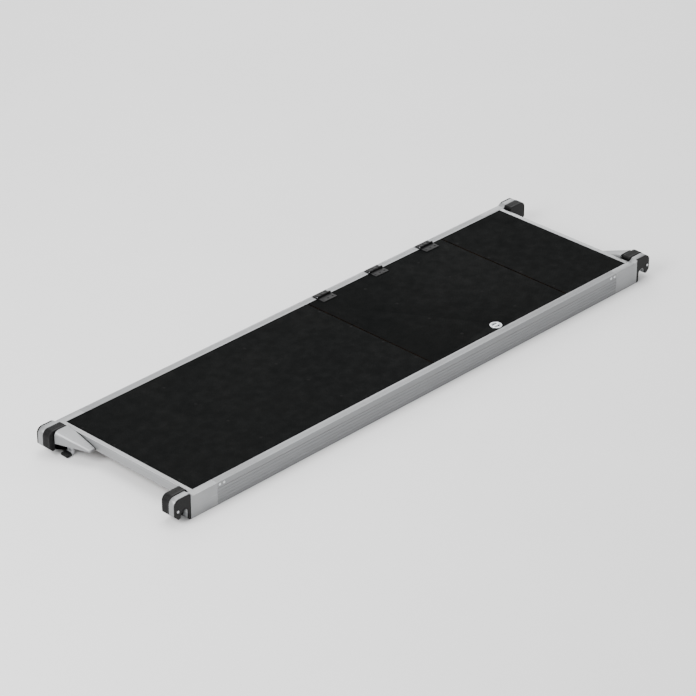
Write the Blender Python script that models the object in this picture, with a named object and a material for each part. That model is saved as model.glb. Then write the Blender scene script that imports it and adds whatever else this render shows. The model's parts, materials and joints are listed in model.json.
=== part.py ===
"""Scaffold plank: a trapdoor platform deck that hooks over the rungs of two scaffold frames.

Metres, +Z up, +X along the plank. The origin is under the plank's middle, on the floor its rails
would lie on. "Near" is the -X end, "far" the +X end, "left" is +Y and "right" is -Y. Corner pieces
are modelled at the far left corner and mirrored to the others.
"""
import math

import bmesh
import bpy

GAP = 0.0003                    # between pieces that touch
SPIGOT_GAP = 0.0004             # between a spigot and its socket
OVERLAP = 0.002                 # how far a part of a casting runs into the rest of it
THROUGH = 1.0                   # reach of a tool that cuts right through, each way from the middle

# The rungs that the plank hangs on
RUNG_SPAN = 2.05                # centre to centre
RUNG_HEIGHT = 0.028             # rung centre above the underside of the rails
THROAT_RADIUS = 0.0155          # claw seat, for a 28 mm rung

# The frame
HALF_LENGTH = 1.0625
HALF_WIDTH = 0.300
RAIL_HEIGHT = 0.075
RAIL_HALF = 0.895               # half the length of the grooved extrusion
RAIL_WALL = 0.0035
RAIL_FLANGE = 0.032
LIP = 0.026                     # width of the rail's top face
LEDGE = 0.010                   # shelf that carries the deck, beyond the lip
LEDGE_THICKNESS = 0.0025
GROOVES = 5
GROOVE_WIDTH = 0.004
GROOVE_DEPTH = 0.0012
GROOVE_BOTTOM, GROOVE_TOP = 0.012, 0.055
EDGE = 0.001                    # chamfer on outer edges
CROSS_BEAMS = (-0.63, -0.29)
BEAM_WIDTH = 0.040
BEAM_HEIGHT = 0.040
BEAM_WALL = 0.002
BEAM_NOTCH = 0.0028             # cut at a beam's ends to pass under the rail's ledge
END_FACE = 0.985                # outer face of the end beam
END_BEAM_BOTTOM = 0.044
END_WALL = 0.003
END_LIP = 0.016                 # width of the end beam's top face
END_FLANGE = 0.030
END_LEDGE = 0.033               # from the outer face to the ledge's edge

# The deck
PLY = 0.012
DECK_TOP = 0.0745
PLY_BOTTOM = DECK_TOP - PLY
LEDGE_TOP = PLY_BOTTOM - GAP
PANEL_HALF = HALF_WIDTH - LIP - GAP
HATCH_CENTRE = 0.365
HATCH_HALF = 0.3125             # from the hatch's centre to the middle of a trimmer
SEAM = 0.0028                   # half the open joint between two panels

# The claws
CLAW_TOP = 0.084
CLAW_LIP = 0.019                # underside of the hook's outer lip
CLAW_NOSE = 0.020               # radius at the top of the hook
CLAW_CORNER = 0.004             # small corners cut off the hook's edges
CAST_START = RAIL_HALF + GAP
CLAW_START = 0.990
COVER_START = 1.000
COVER_THICKNESS = 0.006
BLOCK_WIDTH = 0.0307
BLOCK_CROWN = 0.002             # how far the plastic block stands above the casting
BLOCK_START = CLAW_START + 0.0005
BOLT_PLACE = (1.0515, 0.047)    # the bolt that holds both covers on a claw
BOLT_RADIUS = 0.0042
BOLT_HEAD = 0.0015
SPIGOT_LENGTH = 0.035
RAMP = 0.012                    # length of the slope from the claw's top down to the deck
CAST_WALL = 0.004
POCKETS = ((0.9023, 0.945, 0.056), (0.952, 1.0035, 0.036))  # start, end and top of each hollow

# The hatch
LID_HALF = HATCH_HALF - SEAM
STIFFENERS = (0.24, 0.49)
STIFFENER_SIZE = 0.022
STIFFENER_WALL = 0.0025
STIFFENER_HALF = 0.235
HINGES = (0.125, 0.365, 0.605)
HINGE_LENGTH = 0.060
HINGE_KNUCKLE = 0.018
BARREL_RADIUS = 0.004
HINGE_PIN_RADIUS = 0.002
LEAF = 0.002
LEAF_REACH = {"frame": 0.022, "lid": 0.032}
HINGE_Y = HALF_WIDTH - LIP
HINGE_Z = RAIL_HEIGHT + GAP + BARREL_RADIUS + 0.0002
LATCH_Y = -0.250
BEZEL_RADIUS = 0.020
LATCH_HOLE = 0.0165
KNOB_RADIUS = 0.0150
KNOB_CROWN = 0.0011             # how far the knob stands above the lid
GRIP_RIM = 0.0025
GRIP_FLOOR = 0.004              # left under the finger pockets
SPINDLE_RADIUS = 0.005
CAM_LENGTH = 0.025
CAM_WIDTH = 0.014
CAM_TOP = 0.058
CAM_THICKNESS = 0.005
SCREW_RADIUS = 0.0045
SCREW_HEAD = 0.0022

# The wind locks
LOCK_START = 0.2397             # end of the housing beside the claw
LOCK_END = 0.125
LOCK_WALL = 0.004
LOCK_BACK = END_FACE + GAP
LOCK_FLOOR = 0.0455             # underside of the housing, clear of the rung
LOCK_FRONT = (1.008, 1.046)     # x of the front at the thin end and at the claw end
LOCK_ROOF = (0.052, 0.087)      # height of the roof there
LOCK_SHOULDER = (0.003, 0.014)  # width of the roof's slopes there
LOCK_BACK_WALL = 0.006
LOCK_SLOT_TOP = 0.072           # top of the slot that the arm swings through
LOCK_TAIL = 0.018               # solid stretch at the thin end
PIVOT_X, PIVOT_Z = 1.000, 0.056
ARM_SPAN = (0.2085, 0.2295)
TIP_SPAN = (0.2055, 0.2325)
EYE_RADIUS = 0.0065
TOE = (0.0045, 0.0105)          # underside and top of the arm's toe
TOE_REACH = 0.0195
TIP = (0.001, 0.0125)           # underside and top of the plastic tip
TIP_START, TIP_CENTRE = 0.0095, 0.0253  # from the pivot to the tip's back and to its nose's centre
LOCK_RIB = (0.1965, 0.2003)
LOCK_PIN_RADIUS = 0.003
LOCK_PIN_HEAD = 0.0045
LOCK_BOLTS = (0.166, 0.185)
LOCK_BOLT_Z = 0.0505
LOCK_BOLT_RADIUS = 0.005
LOCK_BOLT_HEAD = 0.004
SPRING_TURNS = 3.5
SPRING_RADIUS = 0.0047
SPRING_WIRE = 0.0006
SPRING_SPAN = (0.2014, 0.2068)
SPRING_LEGS = (0.008, 0.009)    # how far the two legs rise from the pin
SPRING_STEPS = 10               # points in each turn
ROUND = 12                      # sides of a small round part
LARGE_ROUND = 24                # sides of a large one

CORNERS = {"near_left": (-1, 1), "near_right": (-1, -1), "far_left": (1, 1), "far_right": (1, -1)}
LOCKS = {"near": (-1, 1), "far": (1, -1)}
AXIS_ORDER = {"X": (2, 0, 1), "Y": (0, 2, 1), "Z": (0, 1, 2)}


# Tools

def clear_scene():
    for obj in list(bpy.data.objects):
        bpy.data.objects.remove(obj, do_unlink=True)


def finish(name, colour, roughness, metallic):
    """A Principled material with one colour."""
    material = bpy.data.materials.new(name)
    material.use_nodes = True
    shader = material.node_tree.nodes["Principled BSDF"]
    shader.inputs["Base Color"].default_value = (*colour, 1.0)
    shader.inputs["Roughness"].default_value = roughness
    shader.inputs["Metallic"].default_value = metallic
    return material


def arc(centre, radius, start, end, steps):
    """Points along an arc, from the start angle to the end angle in degrees."""
    angles = [math.radians(start + (end - start) * step / steps) for step in range(steps + 1)]
    return [(centre[0] + radius * math.cos(a), centre[1] + radius * math.sin(a)) for a in angles]


def box_outline(low_a, high_a, low_b, high_b):
    return [(low_a, low_b), (high_a, low_b), (high_a, high_b), (low_a, high_b)]


def loft(rings):
    """A closed solid through rings of points, with a flat cap at each end."""
    bm = bmesh.new()
    loops = [[bm.verts.new(point) for point in ring] for ring in rings]
    bm.faces.new(loops[0])
    bm.faces.new(loops[-1])
    for lower, upper in zip(loops, loops[1:]):
        for i in range(len(lower)):
            bm.faces.new((lower[i - 1], lower[i], upper[i], upper[i - 1]))
    bmesh.ops.recalc_face_normals(bm, faces=bm.faces)
    return bm


def lay(outline, axis, level):
    """A flat outline placed in space, at one level along an axis."""
    order = AXIS_ORDER[axis]
    return [tuple((a, b, level)[k] for k in order) for a, b in outline]


def prism(outline, axis, low, high):
    """An outline swept straight along an axis."""
    return loft([lay(outline, axis, low), lay(outline, axis, high)])


def stack(axis, centre, circles, segments):
    """A round solid through circles given as (radius, level)."""
    step = 360.0 / segments
    return loft([lay(arc(centre, radius, 0, 360 - step, segments - 1), axis, level)
                 for radius, level in circles])


def merged(solids):
    """Several separate solids in one mesh."""
    whole = bmesh.new()
    for solid in solids:
        mesh = bpy.data.meshes.new("part of a group")
        solid.to_mesh(mesh)
        solid.free()
        whole.from_mesh(mesh)
        bpy.data.meshes.remove(mesh)
    return whole


def mirrored(bm, side_x, side_y):
    """The same solid at another corner of the plank."""
    for vert in bm.verts:
        vert.co.x *= side_x
        vert.co.y *= side_y
    if side_x * side_y < 0:
        bmesh.ops.reverse_faces(bm, faces=bm.faces)
    return bm


def add(name, bm, material=None, pivot=None, smooth=False):
    """Turn a solid into a named object, riding on a pivot where it moves."""
    mesh = bpy.data.meshes.new(name)
    bm.to_mesh(mesh)
    bm.free()
    if material:
        mesh.materials.append(material)
    if smooth:
        mesh.shade_smooth()
        mesh.set_sharp_from_angle(angle=math.radians(35))
    obj = bpy.data.objects.new(name, mesh)
    bpy.context.scene.collection.objects.link(obj)
    if pivot:
        obj.parent = pivot
        obj.matrix_parent_inverse = pivot.matrix_world.inverted()
    return obj


def combine(obj, operation, name, bm):
    """Add, or cut away, a tool solid with a Boolean modifier."""
    tool = add(name, bm)
    tool.hide_render = True
    tool.display_type = "WIRE"
    modifier = obj.modifiers.new(name, "BOOLEAN")
    modifier.operation = operation
    modifier.solver = "EXACT"
    modifier.object = tool


def cut(obj, name, bm):
    combine(obj, "DIFFERENCE", "cut_" + name, bm)


def join(obj, name, bm):
    combine(obj, "UNION", "join_" + name, bm)


def pivot_at(name, location, parent=None):
    """An empty on a joint's axis."""
    pivot = bpy.data.objects.new(name, None)
    pivot.location = location
    bpy.context.scene.collection.objects.link(pivot)
    if parent:
        bpy.context.view_layer.update()
        pivot.parent = parent
        pivot.matrix_parent_inverse = parent.matrix_world.inverted()
    bpy.context.view_layer.update()
    return pivot


# Side rails and beams

def rail_outline():
    """A rail's cross-section as (y, z), at the left side, with grooves down its outer face."""
    ledge_bottom = LEDGE_TOP - LEDGE_THICKNESS
    inset = [(EDGE, 0.0), (RAIL_FLANGE, 0.0), (RAIL_FLANGE, RAIL_WALL), (RAIL_WALL, RAIL_WALL),
             (RAIL_WALL, ledge_bottom), (LIP + LEDGE, ledge_bottom), (LIP + LEDGE, LEDGE_TOP),
             (LIP, LEDGE_TOP), (LIP, RAIL_HEIGHT), (EDGE, RAIL_HEIGHT), (0.0, RAIL_HEIGHT - EDGE)]
    for groove in reversed(range(GROOVES)):
        middle = GROOVE_BOTTOM + (GROOVE_TOP - GROOVE_BOTTOM) * groove / (GROOVES - 1)
        for side in (1, -1):
            rim = middle + side * GROOVE_WIDTH / 2
            floor = middle + side * (GROOVE_WIDTH / 2 - GROOVE_DEPTH / 2)
            inset += [(0.0, rim), (GROOVE_DEPTH, floor)][::side]
    inset.append((0.0, EDGE))
    return [(HALF_WIDTH - depth, height) for depth, height in inset]


def head_outline(tolerance):
    """The hollow in the head of a rail as (y, z), shrunk by a tolerance."""
    return box_outline(HALF_WIDTH - LIP + RAIL_WALL + tolerance, HALF_WIDTH - RAIL_WALL - tolerance,
                       LEDGE_TOP + tolerance, RAIL_HEIGHT - RAIL_WALL - tolerance)


def make_rails(aluminium):
    for name, side in (("left", 1), ("right", -1)):
        solid = mirrored(prism(rail_outline(), "X", -RAIL_HALF, RAIL_HALF), 1, side)
        rail = add("rail_" + name, solid, aluminium)
        hollow = mirrored(prism(head_outline(0.0), "X", -THROUGH, THROUGH), 1, side)
        cut(rail, "rail_head_" + name, hollow)


def make_cross_beams(aluminium):
    trimmers = [HATCH_CENTRE - HATCH_HALF, HATCH_CENTRE + HATCH_HALF]
    names = ["cross_beam_1", "cross_beam_2", "hatch_trimmer_near", "hatch_trimmer_far"]
    reach = HALF_WIDTH - RAIL_WALL - GAP
    for name, middle in zip(names, list(CROSS_BEAMS) + trimmers):
        low, high = middle - BEAM_WIDTH / 2, middle + BEAM_WIDTH / 2
        bottom = LEDGE_TOP - BEAM_HEIGHT
        beam = add(name, prism(box_outline(low, high, bottom, LEDGE_TOP), "Y", -reach, reach),
                   aluminium)
        bore = box_outline(low + BEAM_WALL, high - BEAM_WALL, bottom + BEAM_WALL,
                           LEDGE_TOP - BEAM_WALL)
        cut(beam, name + "_bore", prism(bore, "Y", -THROUGH, THROUGH))
        notch = box_outline(low - OVERLAP, high + OVERLAP, LEDGE_TOP - BEAM_NOTCH, RAIL_HEIGHT)
        start = HALF_WIDTH - LIP - LEDGE - GAP
        cut(beam, name + "_notch", merged([prism(notch, "Y", start, THROUGH),
                                           prism(notch, "Y", -THROUGH, -start)]))


def make_end_beams(aluminium):
    wall, lip = END_FACE - END_WALL, END_FACE - END_LIP
    flange, ledge = END_FACE - END_FLANGE, END_FACE - END_LEDGE
    ledge_bottom = LEDGE_TOP - LEDGE_THICKNESS
    outline = [(flange, END_BEAM_BOTTOM), (END_FACE, END_BEAM_BOTTOM),
               (END_FACE, RAIL_HEIGHT - EDGE), (END_FACE - EDGE, RAIL_HEIGHT), (lip, RAIL_HEIGHT),
               (lip, LEDGE_TOP), (ledge, LEDGE_TOP), (ledge, ledge_bottom), (wall, ledge_bottom),
               (wall, END_BEAM_BOTTOM + END_WALL), (flange, END_BEAM_BOTTOM + END_WALL)]
    for name, side in (("near", -1), ("far", 1)):
        solid = prism(outline, "Y", -PANEL_HALF, PANEL_HALF)
        add("end_beam_" + name, mirrored(solid, side, 1), aluminium)


# Claws

def hook_outline(start, top):
    """The hook as (x, z), from the bottom at the start, over the rung, up to the top of the nose."""
    rung = (RUNG_SPAN / 2, RUNG_HEIGHT)
    inner, outer = rung[0] - THROAT_RADIUS, rung[0] + THROAT_RADIUS
    outline = [(start, 0.0), (inner - CLAW_CORNER, 0.0), (inner, CLAW_CORNER)]
    outline += arc(rung, THROAT_RADIUS, 180, 0, 12)
    outline += [(outer, CLAW_LIP + 0.003), (outer + 0.003, CLAW_LIP), (outer + 0.010, CLAW_LIP),
                (HALF_LENGTH, CLAW_LIP + 0.012)]
    outline += arc((HALF_LENGTH - CLAW_NOSE, top - CLAW_NOSE), CLAW_NOSE, 0, 90, 6)
    return outline


def cast_outline():
    """The casting's side view: the hook, a ramp down to the deck and the body that meets the rail."""
    return hook_outline(CAST_START, CLAW_TOP) + [
        (CLAW_START + RAMP, CLAW_TOP), (CLAW_START, RAIL_HEIGHT), (CAST_START, RAIL_HEIGHT)]


def block_outline(start, top):
    """A plastic cover's side view: the hook with a small corner cut off its top edge."""
    return hook_outline(start, top) + [(start + CLAW_CORNER, top), (start, top - CLAW_CORNER)]


def make_casting(corner, sides, cast):
    inner = HALF_WIDTH - LIP
    casting = add("claw_casting_" + corner,
                  mirrored(prism(cast_outline(), "Y", inner, HALF_WIDTH), *sides), cast)
    shelf = prism(box_outline(inner - LEDGE, inner + OVERLAP, LEDGE_TOP - LEDGE_THICKNESS, LEDGE_TOP),
                  "X", CAST_START, END_FACE - END_LEDGE - GAP)
    join(casting, "shelf_" + corner, mirrored(shelf, *sides))
    spigot = prism(head_outline(SPIGOT_GAP), "X", RAIL_HALF - SPIGOT_LENGTH,
                   CAST_START + OVERLAP)
    join(casting, "spigot_" + corner, mirrored(spigot, *sides))
    hollows = merged([prism(box_outline(low, high, CAST_WALL, top), "Y", inner - OVERLAP,
                            HALF_WIDTH - COVER_THICKNESS - CAST_WALL) for low, high, top in POCKETS])
    cut(casting, "pockets_" + corner, mirrored(hollows, *sides))
    side_view = box_outline(COVER_START - GAP, HALF_LENGTH + OVERLAP, -OVERLAP, CLAW_TOP + OVERLAP)
    recess = prism(side_view, "Y", HALF_WIDTH - COVER_THICKNESS, HALF_WIDTH + OVERLAP)
    cut(casting, "recess_" + corner, mirrored(recess, *sides))


def make_covers(corner, sides, plastic):
    outer = prism(block_outline(COVER_START, CLAW_TOP), "Y",
                  HALF_WIDTH - COVER_THICKNESS + GAP, HALF_WIDTH)
    add("claw_cover_outer_" + corner, mirrored(outer, *sides), plastic)
    face = HALF_WIDTH - LIP - GAP
    inner = prism(block_outline(BLOCK_START, CLAW_TOP + BLOCK_CROWN), "Y",
                  face - BLOCK_WIDTH, face)
    add("claw_cover_inner_" + corner, mirrored(inner, *sides), plastic)


def make_claw_bolt(corner, sides, steel):
    """The low round head of the bolt through a claw and its two covers."""
    base = HALF_WIDTH + GAP
    head = stack("Y", BOLT_PLACE, [(BOLT_RADIUS, base), (0.95 * BOLT_RADIUS, base + 0.6 * BOLT_HEAD),
                                   (0.57 * BOLT_RADIUS, base + BOLT_HEAD)], ROUND)
    add("claw_bolt_" + corner, mirrored(head, *sides), steel, smooth=True)


# Deck panels

def make_panels(ply):
    end = END_FACE - END_LIP - GAP
    spans = {"near": (-end, HATCH_CENTRE - HATCH_HALF - SEAM),
             "far": (HATCH_CENTRE + HATCH_HALF + SEAM, end)}
    for name, (low, high) in spans.items():
        outline = box_outline(low, high, -PANEL_HALF, PANEL_HALF)
        add("deck_panel_" + name, prism(outline, "Z", PLY_BOTTOM, DECK_TOP), ply)


# Hatch

def make_lid(pivot, ply, aluminium):
    low, high = HATCH_CENTRE - LID_HALF, HATCH_CENTRE + LID_HALF
    outline = box_outline(low, high, -PANEL_HALF, PANEL_HALF)
    lid = add("hatch_lid", prism(outline, "Z", PLY_BOTTOM, DECK_TOP), ply, pivot)
    hole = stack("Z", (HATCH_CENTRE, LATCH_Y), [(LATCH_HOLE, -THROUGH), (LATCH_HOLE, THROUGH)],
                 LARGE_ROUND)
    cut(lid, "latch_hole", hole)
    top = PLY_BOTTOM - GAP
    for number, x in enumerate(STIFFENERS, 1):
        angle = [(x, top - STIFFENER_SIZE), (x + STIFFENER_WALL, top - STIFFENER_SIZE),
                 (x + STIFFENER_WALL, top - STIFFENER_WALL), (x + STIFFENER_SIZE, top - STIFFENER_WALL),
                 (x + STIFFENER_SIZE, top), (x, top)]
        add(f"hatch_stiffener_{number}", prism(angle, "Y", -STIFFENER_HALF, STIFFENER_HALF),
            aluminium, pivot)


def leaf_solid(middle, side, level, reach, knuckles):
    """A hinge leaf: a plate, the tabs that run to the axis, and its knuckles."""
    clear = BARREL_RADIUS + GAP
    half = HINGE_LENGTH / 2
    plate = box_outline(middle - half, middle + half, *sorted((HINGE_Y + side * clear,
                                                               HINGE_Y + side * reach)))
    tabs = [box_outline(low, high, *sorted((HINGE_Y, HINGE_Y + side * (clear + OVERLAP))))
            for low, high in knuckles]
    return prism(plate, "Z", level, level + LEAF), [prism(tab, "Z", level, level + LEAF)
                                                    for tab in tabs]


def make_leaf(name, middle, side, level, reach, knuckles, paint, pivot=None):
    plate, tabs = leaf_solid(middle, side, level, reach, knuckles)
    leaf = add(name, plate, paint, pivot)
    barrels = [stack("X", (HINGE_Y, HINGE_Z), [(BARREL_RADIUS, low), (BARREL_RADIUS, high)], ROUND)
               for low, high in knuckles]
    join(leaf, name + "_tabs", merged(tabs))
    join(leaf, name + "_knuckles", merged(barrels))
    bore = stack("X", (HINGE_Y, HINGE_Z), [(HINGE_PIN_RADIUS + GAP, middle - HINGE_LENGTH),
                                           (HINGE_PIN_RADIUS + GAP, middle + HINGE_LENGTH)], ROUND)
    cut(leaf, name + "_bore", bore)


def make_hinges(pivot, paint, steel):
    half = HINGE_LENGTH / 2
    for number, middle in enumerate(HINGES, 1):
        outer = [(middle - half, middle - half + HINGE_KNUCKLE),
                 (middle + half - HINGE_KNUCKLE, middle + half)]
        centre = [(middle - half + HINGE_KNUCKLE + GAP, middle + half - HINGE_KNUCKLE - GAP)]
        make_leaf(f"hinge_leaf_frame_{number}", middle, 1, RAIL_HEIGHT + GAP, LEAF_REACH["frame"],
                  outer, paint)
        make_leaf(f"hinge_leaf_lid_{number}", middle, -1, DECK_TOP + GAP, LEAF_REACH["lid"], centre,
                  paint, pivot)
        pin = stack("X", (HINGE_Y, HINGE_Z), [(HINGE_PIN_RADIUS, middle - half),
                                              (HINGE_PIN_RADIUS, middle + half)], ROUND)
        add(f"hinge_pin_{number}", pin, steel, smooth=True)


def make_bezel(pivot, steel):
    """The flanged cup round the latch knob: a ring under a wider flange."""
    centre = (HATCH_CENTRE, LATCH_Y)
    flange_bottom = DECK_TOP + GAP
    wall = LATCH_HOLE - GAP
    bezel = add("latch_bezel", stack("Z", centre, [
        (wall, PLY_BOTTOM), (wall, flange_bottom), (BEZEL_RADIUS, flange_bottom),
        (BEZEL_RADIUS, flange_bottom + 0.0007), (BEZEL_RADIUS - EDGE, flange_bottom + 0.0013)],
        LARGE_ROUND), steel, pivot, smooth=True)
    inner = KNOB_RADIUS + GAP
    cut(bezel, "bezel_bore", stack("Z", centre, [(inner, -THROUGH), (inner, THROUGH)],
                                     LARGE_ROUND))


def grip_pocket(turn):
    """One of the two finger pockets either side of the knob's grip, as (x, y)."""
    centre = (HATCH_CENTRE, LATCH_Y)
    return arc(centre, KNOB_RADIUS - GRIP_RIM, turn + 15, turn + 165, 10)


def make_latch(pivot, steel):
    """The turning latch: a knob in the lid and a cam that swings under the rail's ledge."""
    centre = (HATCH_CENTRE, LATCH_Y)
    knob = add("latch_knob", stack("Z", centre, [
        (SPINDLE_RADIUS, CAM_TOP + GAP), (SPINDLE_RADIUS, PLY_BOTTOM), (KNOB_RADIUS, PLY_BOTTOM),
        (KNOB_RADIUS, DECK_TOP + KNOB_CROWN / 2), (KNOB_RADIUS - 0.0007, DECK_TOP + KNOB_CROWN)],
        LARGE_ROUND), steel, pivot, smooth=True)
    pockets = [prism(grip_pocket(turn), "Z", PLY_BOTTOM + GRIP_FLOOR, THROUGH) for turn in (0, 180)]
    cut(knob, "grip_pockets", merged(pockets))
    half = CAM_WIDTH / 2
    outline = arc(centre, half, 90, 270, 8)
    outline += arc((HATCH_CENTRE + CAM_LENGTH - half, LATCH_Y), half, -90, 90, 8)
    add("latch_cam", prism(outline, "Z", CAM_TOP - CAM_THICKNESS, CAM_TOP), steel, pivot)
    head = CAM_TOP - CAM_THICKNESS - GAP
    add("latch_screw", stack("Z", centre, [
        (0.7 * SCREW_RADIUS, head - SCREW_HEAD), (SCREW_RADIUS, head - 0.7 * SCREW_HEAD),
        (SCREW_RADIUS, head)], ROUND), steel, pivot, smooth=True)


# Wind locks

def lock_profile(y, inset):
    """The housing's section as (x, z) at a place along the rung, shrunk by a wall's thickness.

    The roof and the front fall away in an even taper from the claw end to the thin end.
    """
    share = (y - LOCK_END) / (LOCK_START - LOCK_END)
    front, roof, slope = [thin + share * (thick - thin)
                          for thin, thick in (LOCK_FRONT, LOCK_ROOF, LOCK_SHOULDER)]
    front, roof = front - inset, roof - inset
    back = LOCK_BACK + (LOCK_BACK_WALL if inset else 0.0)
    floor = LOCK_FLOOR - (LOCK_FLOOR / 2 if inset else 0.0)
    return [(back, floor), (front, floor), (front, max(roof - 1.3 * slope, LOCK_FLOOR + EDGE)),
            (front - slope, roof), (back + slope * 0.6, roof), (back, roof - slope * 0.5)]


def lock_loft(low, high, inset):
    stations = [low + (high - low) * step / 2 for step in range(3)]
    return loft([lay(lock_profile(y, inset), "Y", y) for y in stations])


def make_housing(name, sides, cast):
    housing = add("wind_lock_housing_" + name,
                  mirrored(lock_loft(LOCK_END, LOCK_START, 0.0), *sides), cast)
    cheek = LOCK_START - LOCK_WALL - EDGE
    cavities = merged([lock_loft(LOCK_RIB[1], cheek, LOCK_WALL),
                       lock_loft(LOCK_END + LOCK_TAIL, LOCK_RIB[0], LOCK_WALL)])
    cut(housing, "lock_cavities_" + name, mirrored(cavities, *sides))
    swing = box_outline(LOCK_BACK - OVERLAP, LOCK_BACK + LOCK_BACK_WALL + OVERLAP,
                        LOCK_FLOOR / 2, LOCK_SLOT_TOP)
    slot = prism(swing, "Y", LOCK_RIB[1], cheek)
    cut(housing, "lock_slot_" + name, mirrored(slot, *sides))
    radius = LOCK_PIN_RADIUS + GAP
    bore = stack("Y", (PIVOT_X, PIVOT_Z), [(radius, LOCK_RIB[0] - OVERLAP),
                                           (radius, LOCK_START + OVERLAP)], ROUND)
    cut(housing, "lock_bore_" + name, mirrored(bore, *sides))


def arm_outline():
    """The catch's side view as (x, z): a round eye, a straight stem and a toe under the rung."""
    back, front = PIVOT_X - 0.004, PIVOT_X + 0.006
    bend = 0.003
    return (arc((PIVOT_X, PIVOT_Z), EYE_RADIUS, -22, 231, 14)
            + [(back, TOE[0] + bend), (back + bend, TOE[0]), (PIVOT_X + TOE_REACH, TOE[0]),
               (PIVOT_X + TOE_REACH, TOE[1]), (front + bend, TOE[1]), (front, TOE[1] + bend)])


def make_arm(name, sides, pivot, steel, plastic):
    arm = add("wind_lock_arm_" + name, mirrored(prism(arm_outline(), "Y", *ARM_SPAN), *sides),
              steel, pivot)
    radius = LOCK_PIN_RADIUS + GAP
    eye = stack("Y", (PIVOT_X, PIVOT_Z), [(radius, ARM_SPAN[0] - OVERLAP),
                                          (radius, ARM_SPAN[1] + OVERLAP)], ROUND)
    cut(arm, "arm_eye_" + name, mirrored(eye, *sides))
    low, high = TIP
    outline = [(PIVOT_X + TIP_START, high), (PIVOT_X + TIP_START, low)]
    outline += arc((PIVOT_X + TIP_CENTRE, (low + high) / 2), (high - low) / 2, -90, 90, 8)
    tip = add("wind_lock_tip_" + name, mirrored(prism(outline, "Y", *TIP_SPAN), *sides),
              plastic, pivot)
    socket = prism(box_outline(PIVOT_X, PIVOT_X + TOE_REACH + GAP, TOE[0] - GAP, TOE[1] + GAP), "Y",
                   ARM_SPAN[0] - GAP, ARM_SPAN[1] + GAP)
    cut(tip, "tip_socket_" + name, mirrored(socket, *sides))


def make_lock_pin(name, sides, steel):
    shank, head = LOCK_PIN_RADIUS, LOCK_PIN_HEAD
    pin = stack("Y", (PIVOT_X, PIVOT_Z), [
        (shank, LOCK_RIB[0]), (shank, LOCK_START + GAP), (head, LOCK_START + GAP),
        (head, LOCK_START + 0.0015), (head - EDGE, LOCK_START + 0.0022)], ROUND)
    add("wind_lock_pin_" + name, mirrored(pin, *sides), steel, smooth=True)


def make_lock_bolts(name, sides, steel):
    """The hexagon heads that hold the housing's back against the end beam."""
    seat = LOCK_BACK + LOCK_BACK_WALL + GAP
    for number, y in enumerate(LOCK_BOLTS, 1):
        head = stack("X", (y, LOCK_BOLT_Z), [
            (LOCK_BOLT_RADIUS, seat), (LOCK_BOLT_RADIUS, seat + 0.85 * LOCK_BOLT_HEAD),
            (LOCK_BOLT_RADIUS - EDGE, seat + LOCK_BOLT_HEAD)], 6)
        add(f"wind_lock_bolt_{name}_{number}", mirrored(head, *sides), steel)


def make_spring(name, sides, steel):
    """A torsion spring round the pin: a leg up the back, the coil, and a leg down beside the arm."""
    steps = int(SPRING_TURNS * SPRING_STEPS)
    first, last = SPRING_SPAN
    points = [(PIVOT_X - SPRING_RADIUS, first, PIVOT_Z + SPRING_LEGS[0])]
    for step in range(steps + 1):
        turn = math.pi + math.tau * SPRING_TURNS * step / steps
        points.append((PIVOT_X + SPRING_RADIUS * math.cos(turn), first + (last - first) * step / steps,
                       PIVOT_Z + SPRING_RADIUS * math.sin(turn)))
    points.append((PIVOT_X + SPRING_RADIUS, last, PIVOT_Z + SPRING_LEGS[1]))
    curve = bpy.data.curves.new("wind_lock_spring_" + name, "CURVE")
    curve.dimensions = "3D"
    curve.bevel_depth = SPRING_WIRE
    curve.bevel_resolution = 1
    curve.render_resolution_u = 0
    curve.use_fill_caps = True
    curve.materials.append(steel)
    spline = curve.splines.new("POLY")
    spline.points.add(len(points) - 1)
    for target, (x, y, z) in zip(spline.points, points):
        target.co = (x * sides[0], y * sides[1], z, 1.0)
    spring = bpy.data.objects.new("wind_lock_spring_" + name, curve)
    bpy.context.scene.collection.objects.link(spring)


def main():
    clear_scene()
    rail_metal = finish("extruded_aluminium", (0.62, 0.63, 0.64), 0.38, 1.0)
    cast_metal = finish("cast_aluminium", (0.52, 0.53, 0.54), 0.50, 1.0)
    ply = finish("film_faced_ply", (0.010, 0.011, 0.011), 0.55, 0.0)
    plastic = finish("black_plastic", (0.012, 0.012, 0.012), 0.48, 0.0)
    zinc = finish("zinc_steel", (0.66, 0.67, 0.68), 0.32, 1.0)
    paint = finish("black_painted_steel", (0.015, 0.015, 0.015), 0.40, 0.0)
    spring_steel = finish("spring_steel", (0.40, 0.40, 0.41), 0.30, 1.0)

    make_rails(rail_metal)
    make_cross_beams(rail_metal)
    make_end_beams(rail_metal)
    for corner, sides in CORNERS.items():
        make_casting(corner, sides, cast_metal)
        make_covers(corner, sides, plastic)
        make_claw_bolt(corner, sides, zinc)
    make_panels(ply)

    hatch = pivot_at("hatch_pivot", (HATCH_CENTRE, HINGE_Y, HINGE_Z))
    make_lid(hatch, ply, rail_metal)
    make_hinges(hatch, paint, zinc)
    make_bezel(hatch, zinc)
    latch = pivot_at("latch_pivot", (HATCH_CENTRE, LATCH_Y, CAM_TOP), hatch)
    make_latch(latch, zinc)

    middle = (ARM_SPAN[0] + ARM_SPAN[1]) / 2
    for name, sides in LOCKS.items():
        pivot = pivot_at("wind_lock_pivot_" + name, (PIVOT_X * sides[0], middle * sides[1], PIVOT_Z))
        make_housing(name, sides, cast_metal)
        make_arm(name, sides, pivot, zinc, plastic)
        make_lock_pin(name, sides, zinc)
        make_lock_bolts(name, sides, zinc)
        make_spring(name, sides, spring_steel)
    bpy.context.view_layer.update()


main()
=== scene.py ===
"""Looks of the scaffold plank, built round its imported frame.

Metres, +Z up, +X along the plank. Every piece lies where the frame's nodes say.
"""
from __future__ import annotations

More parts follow.
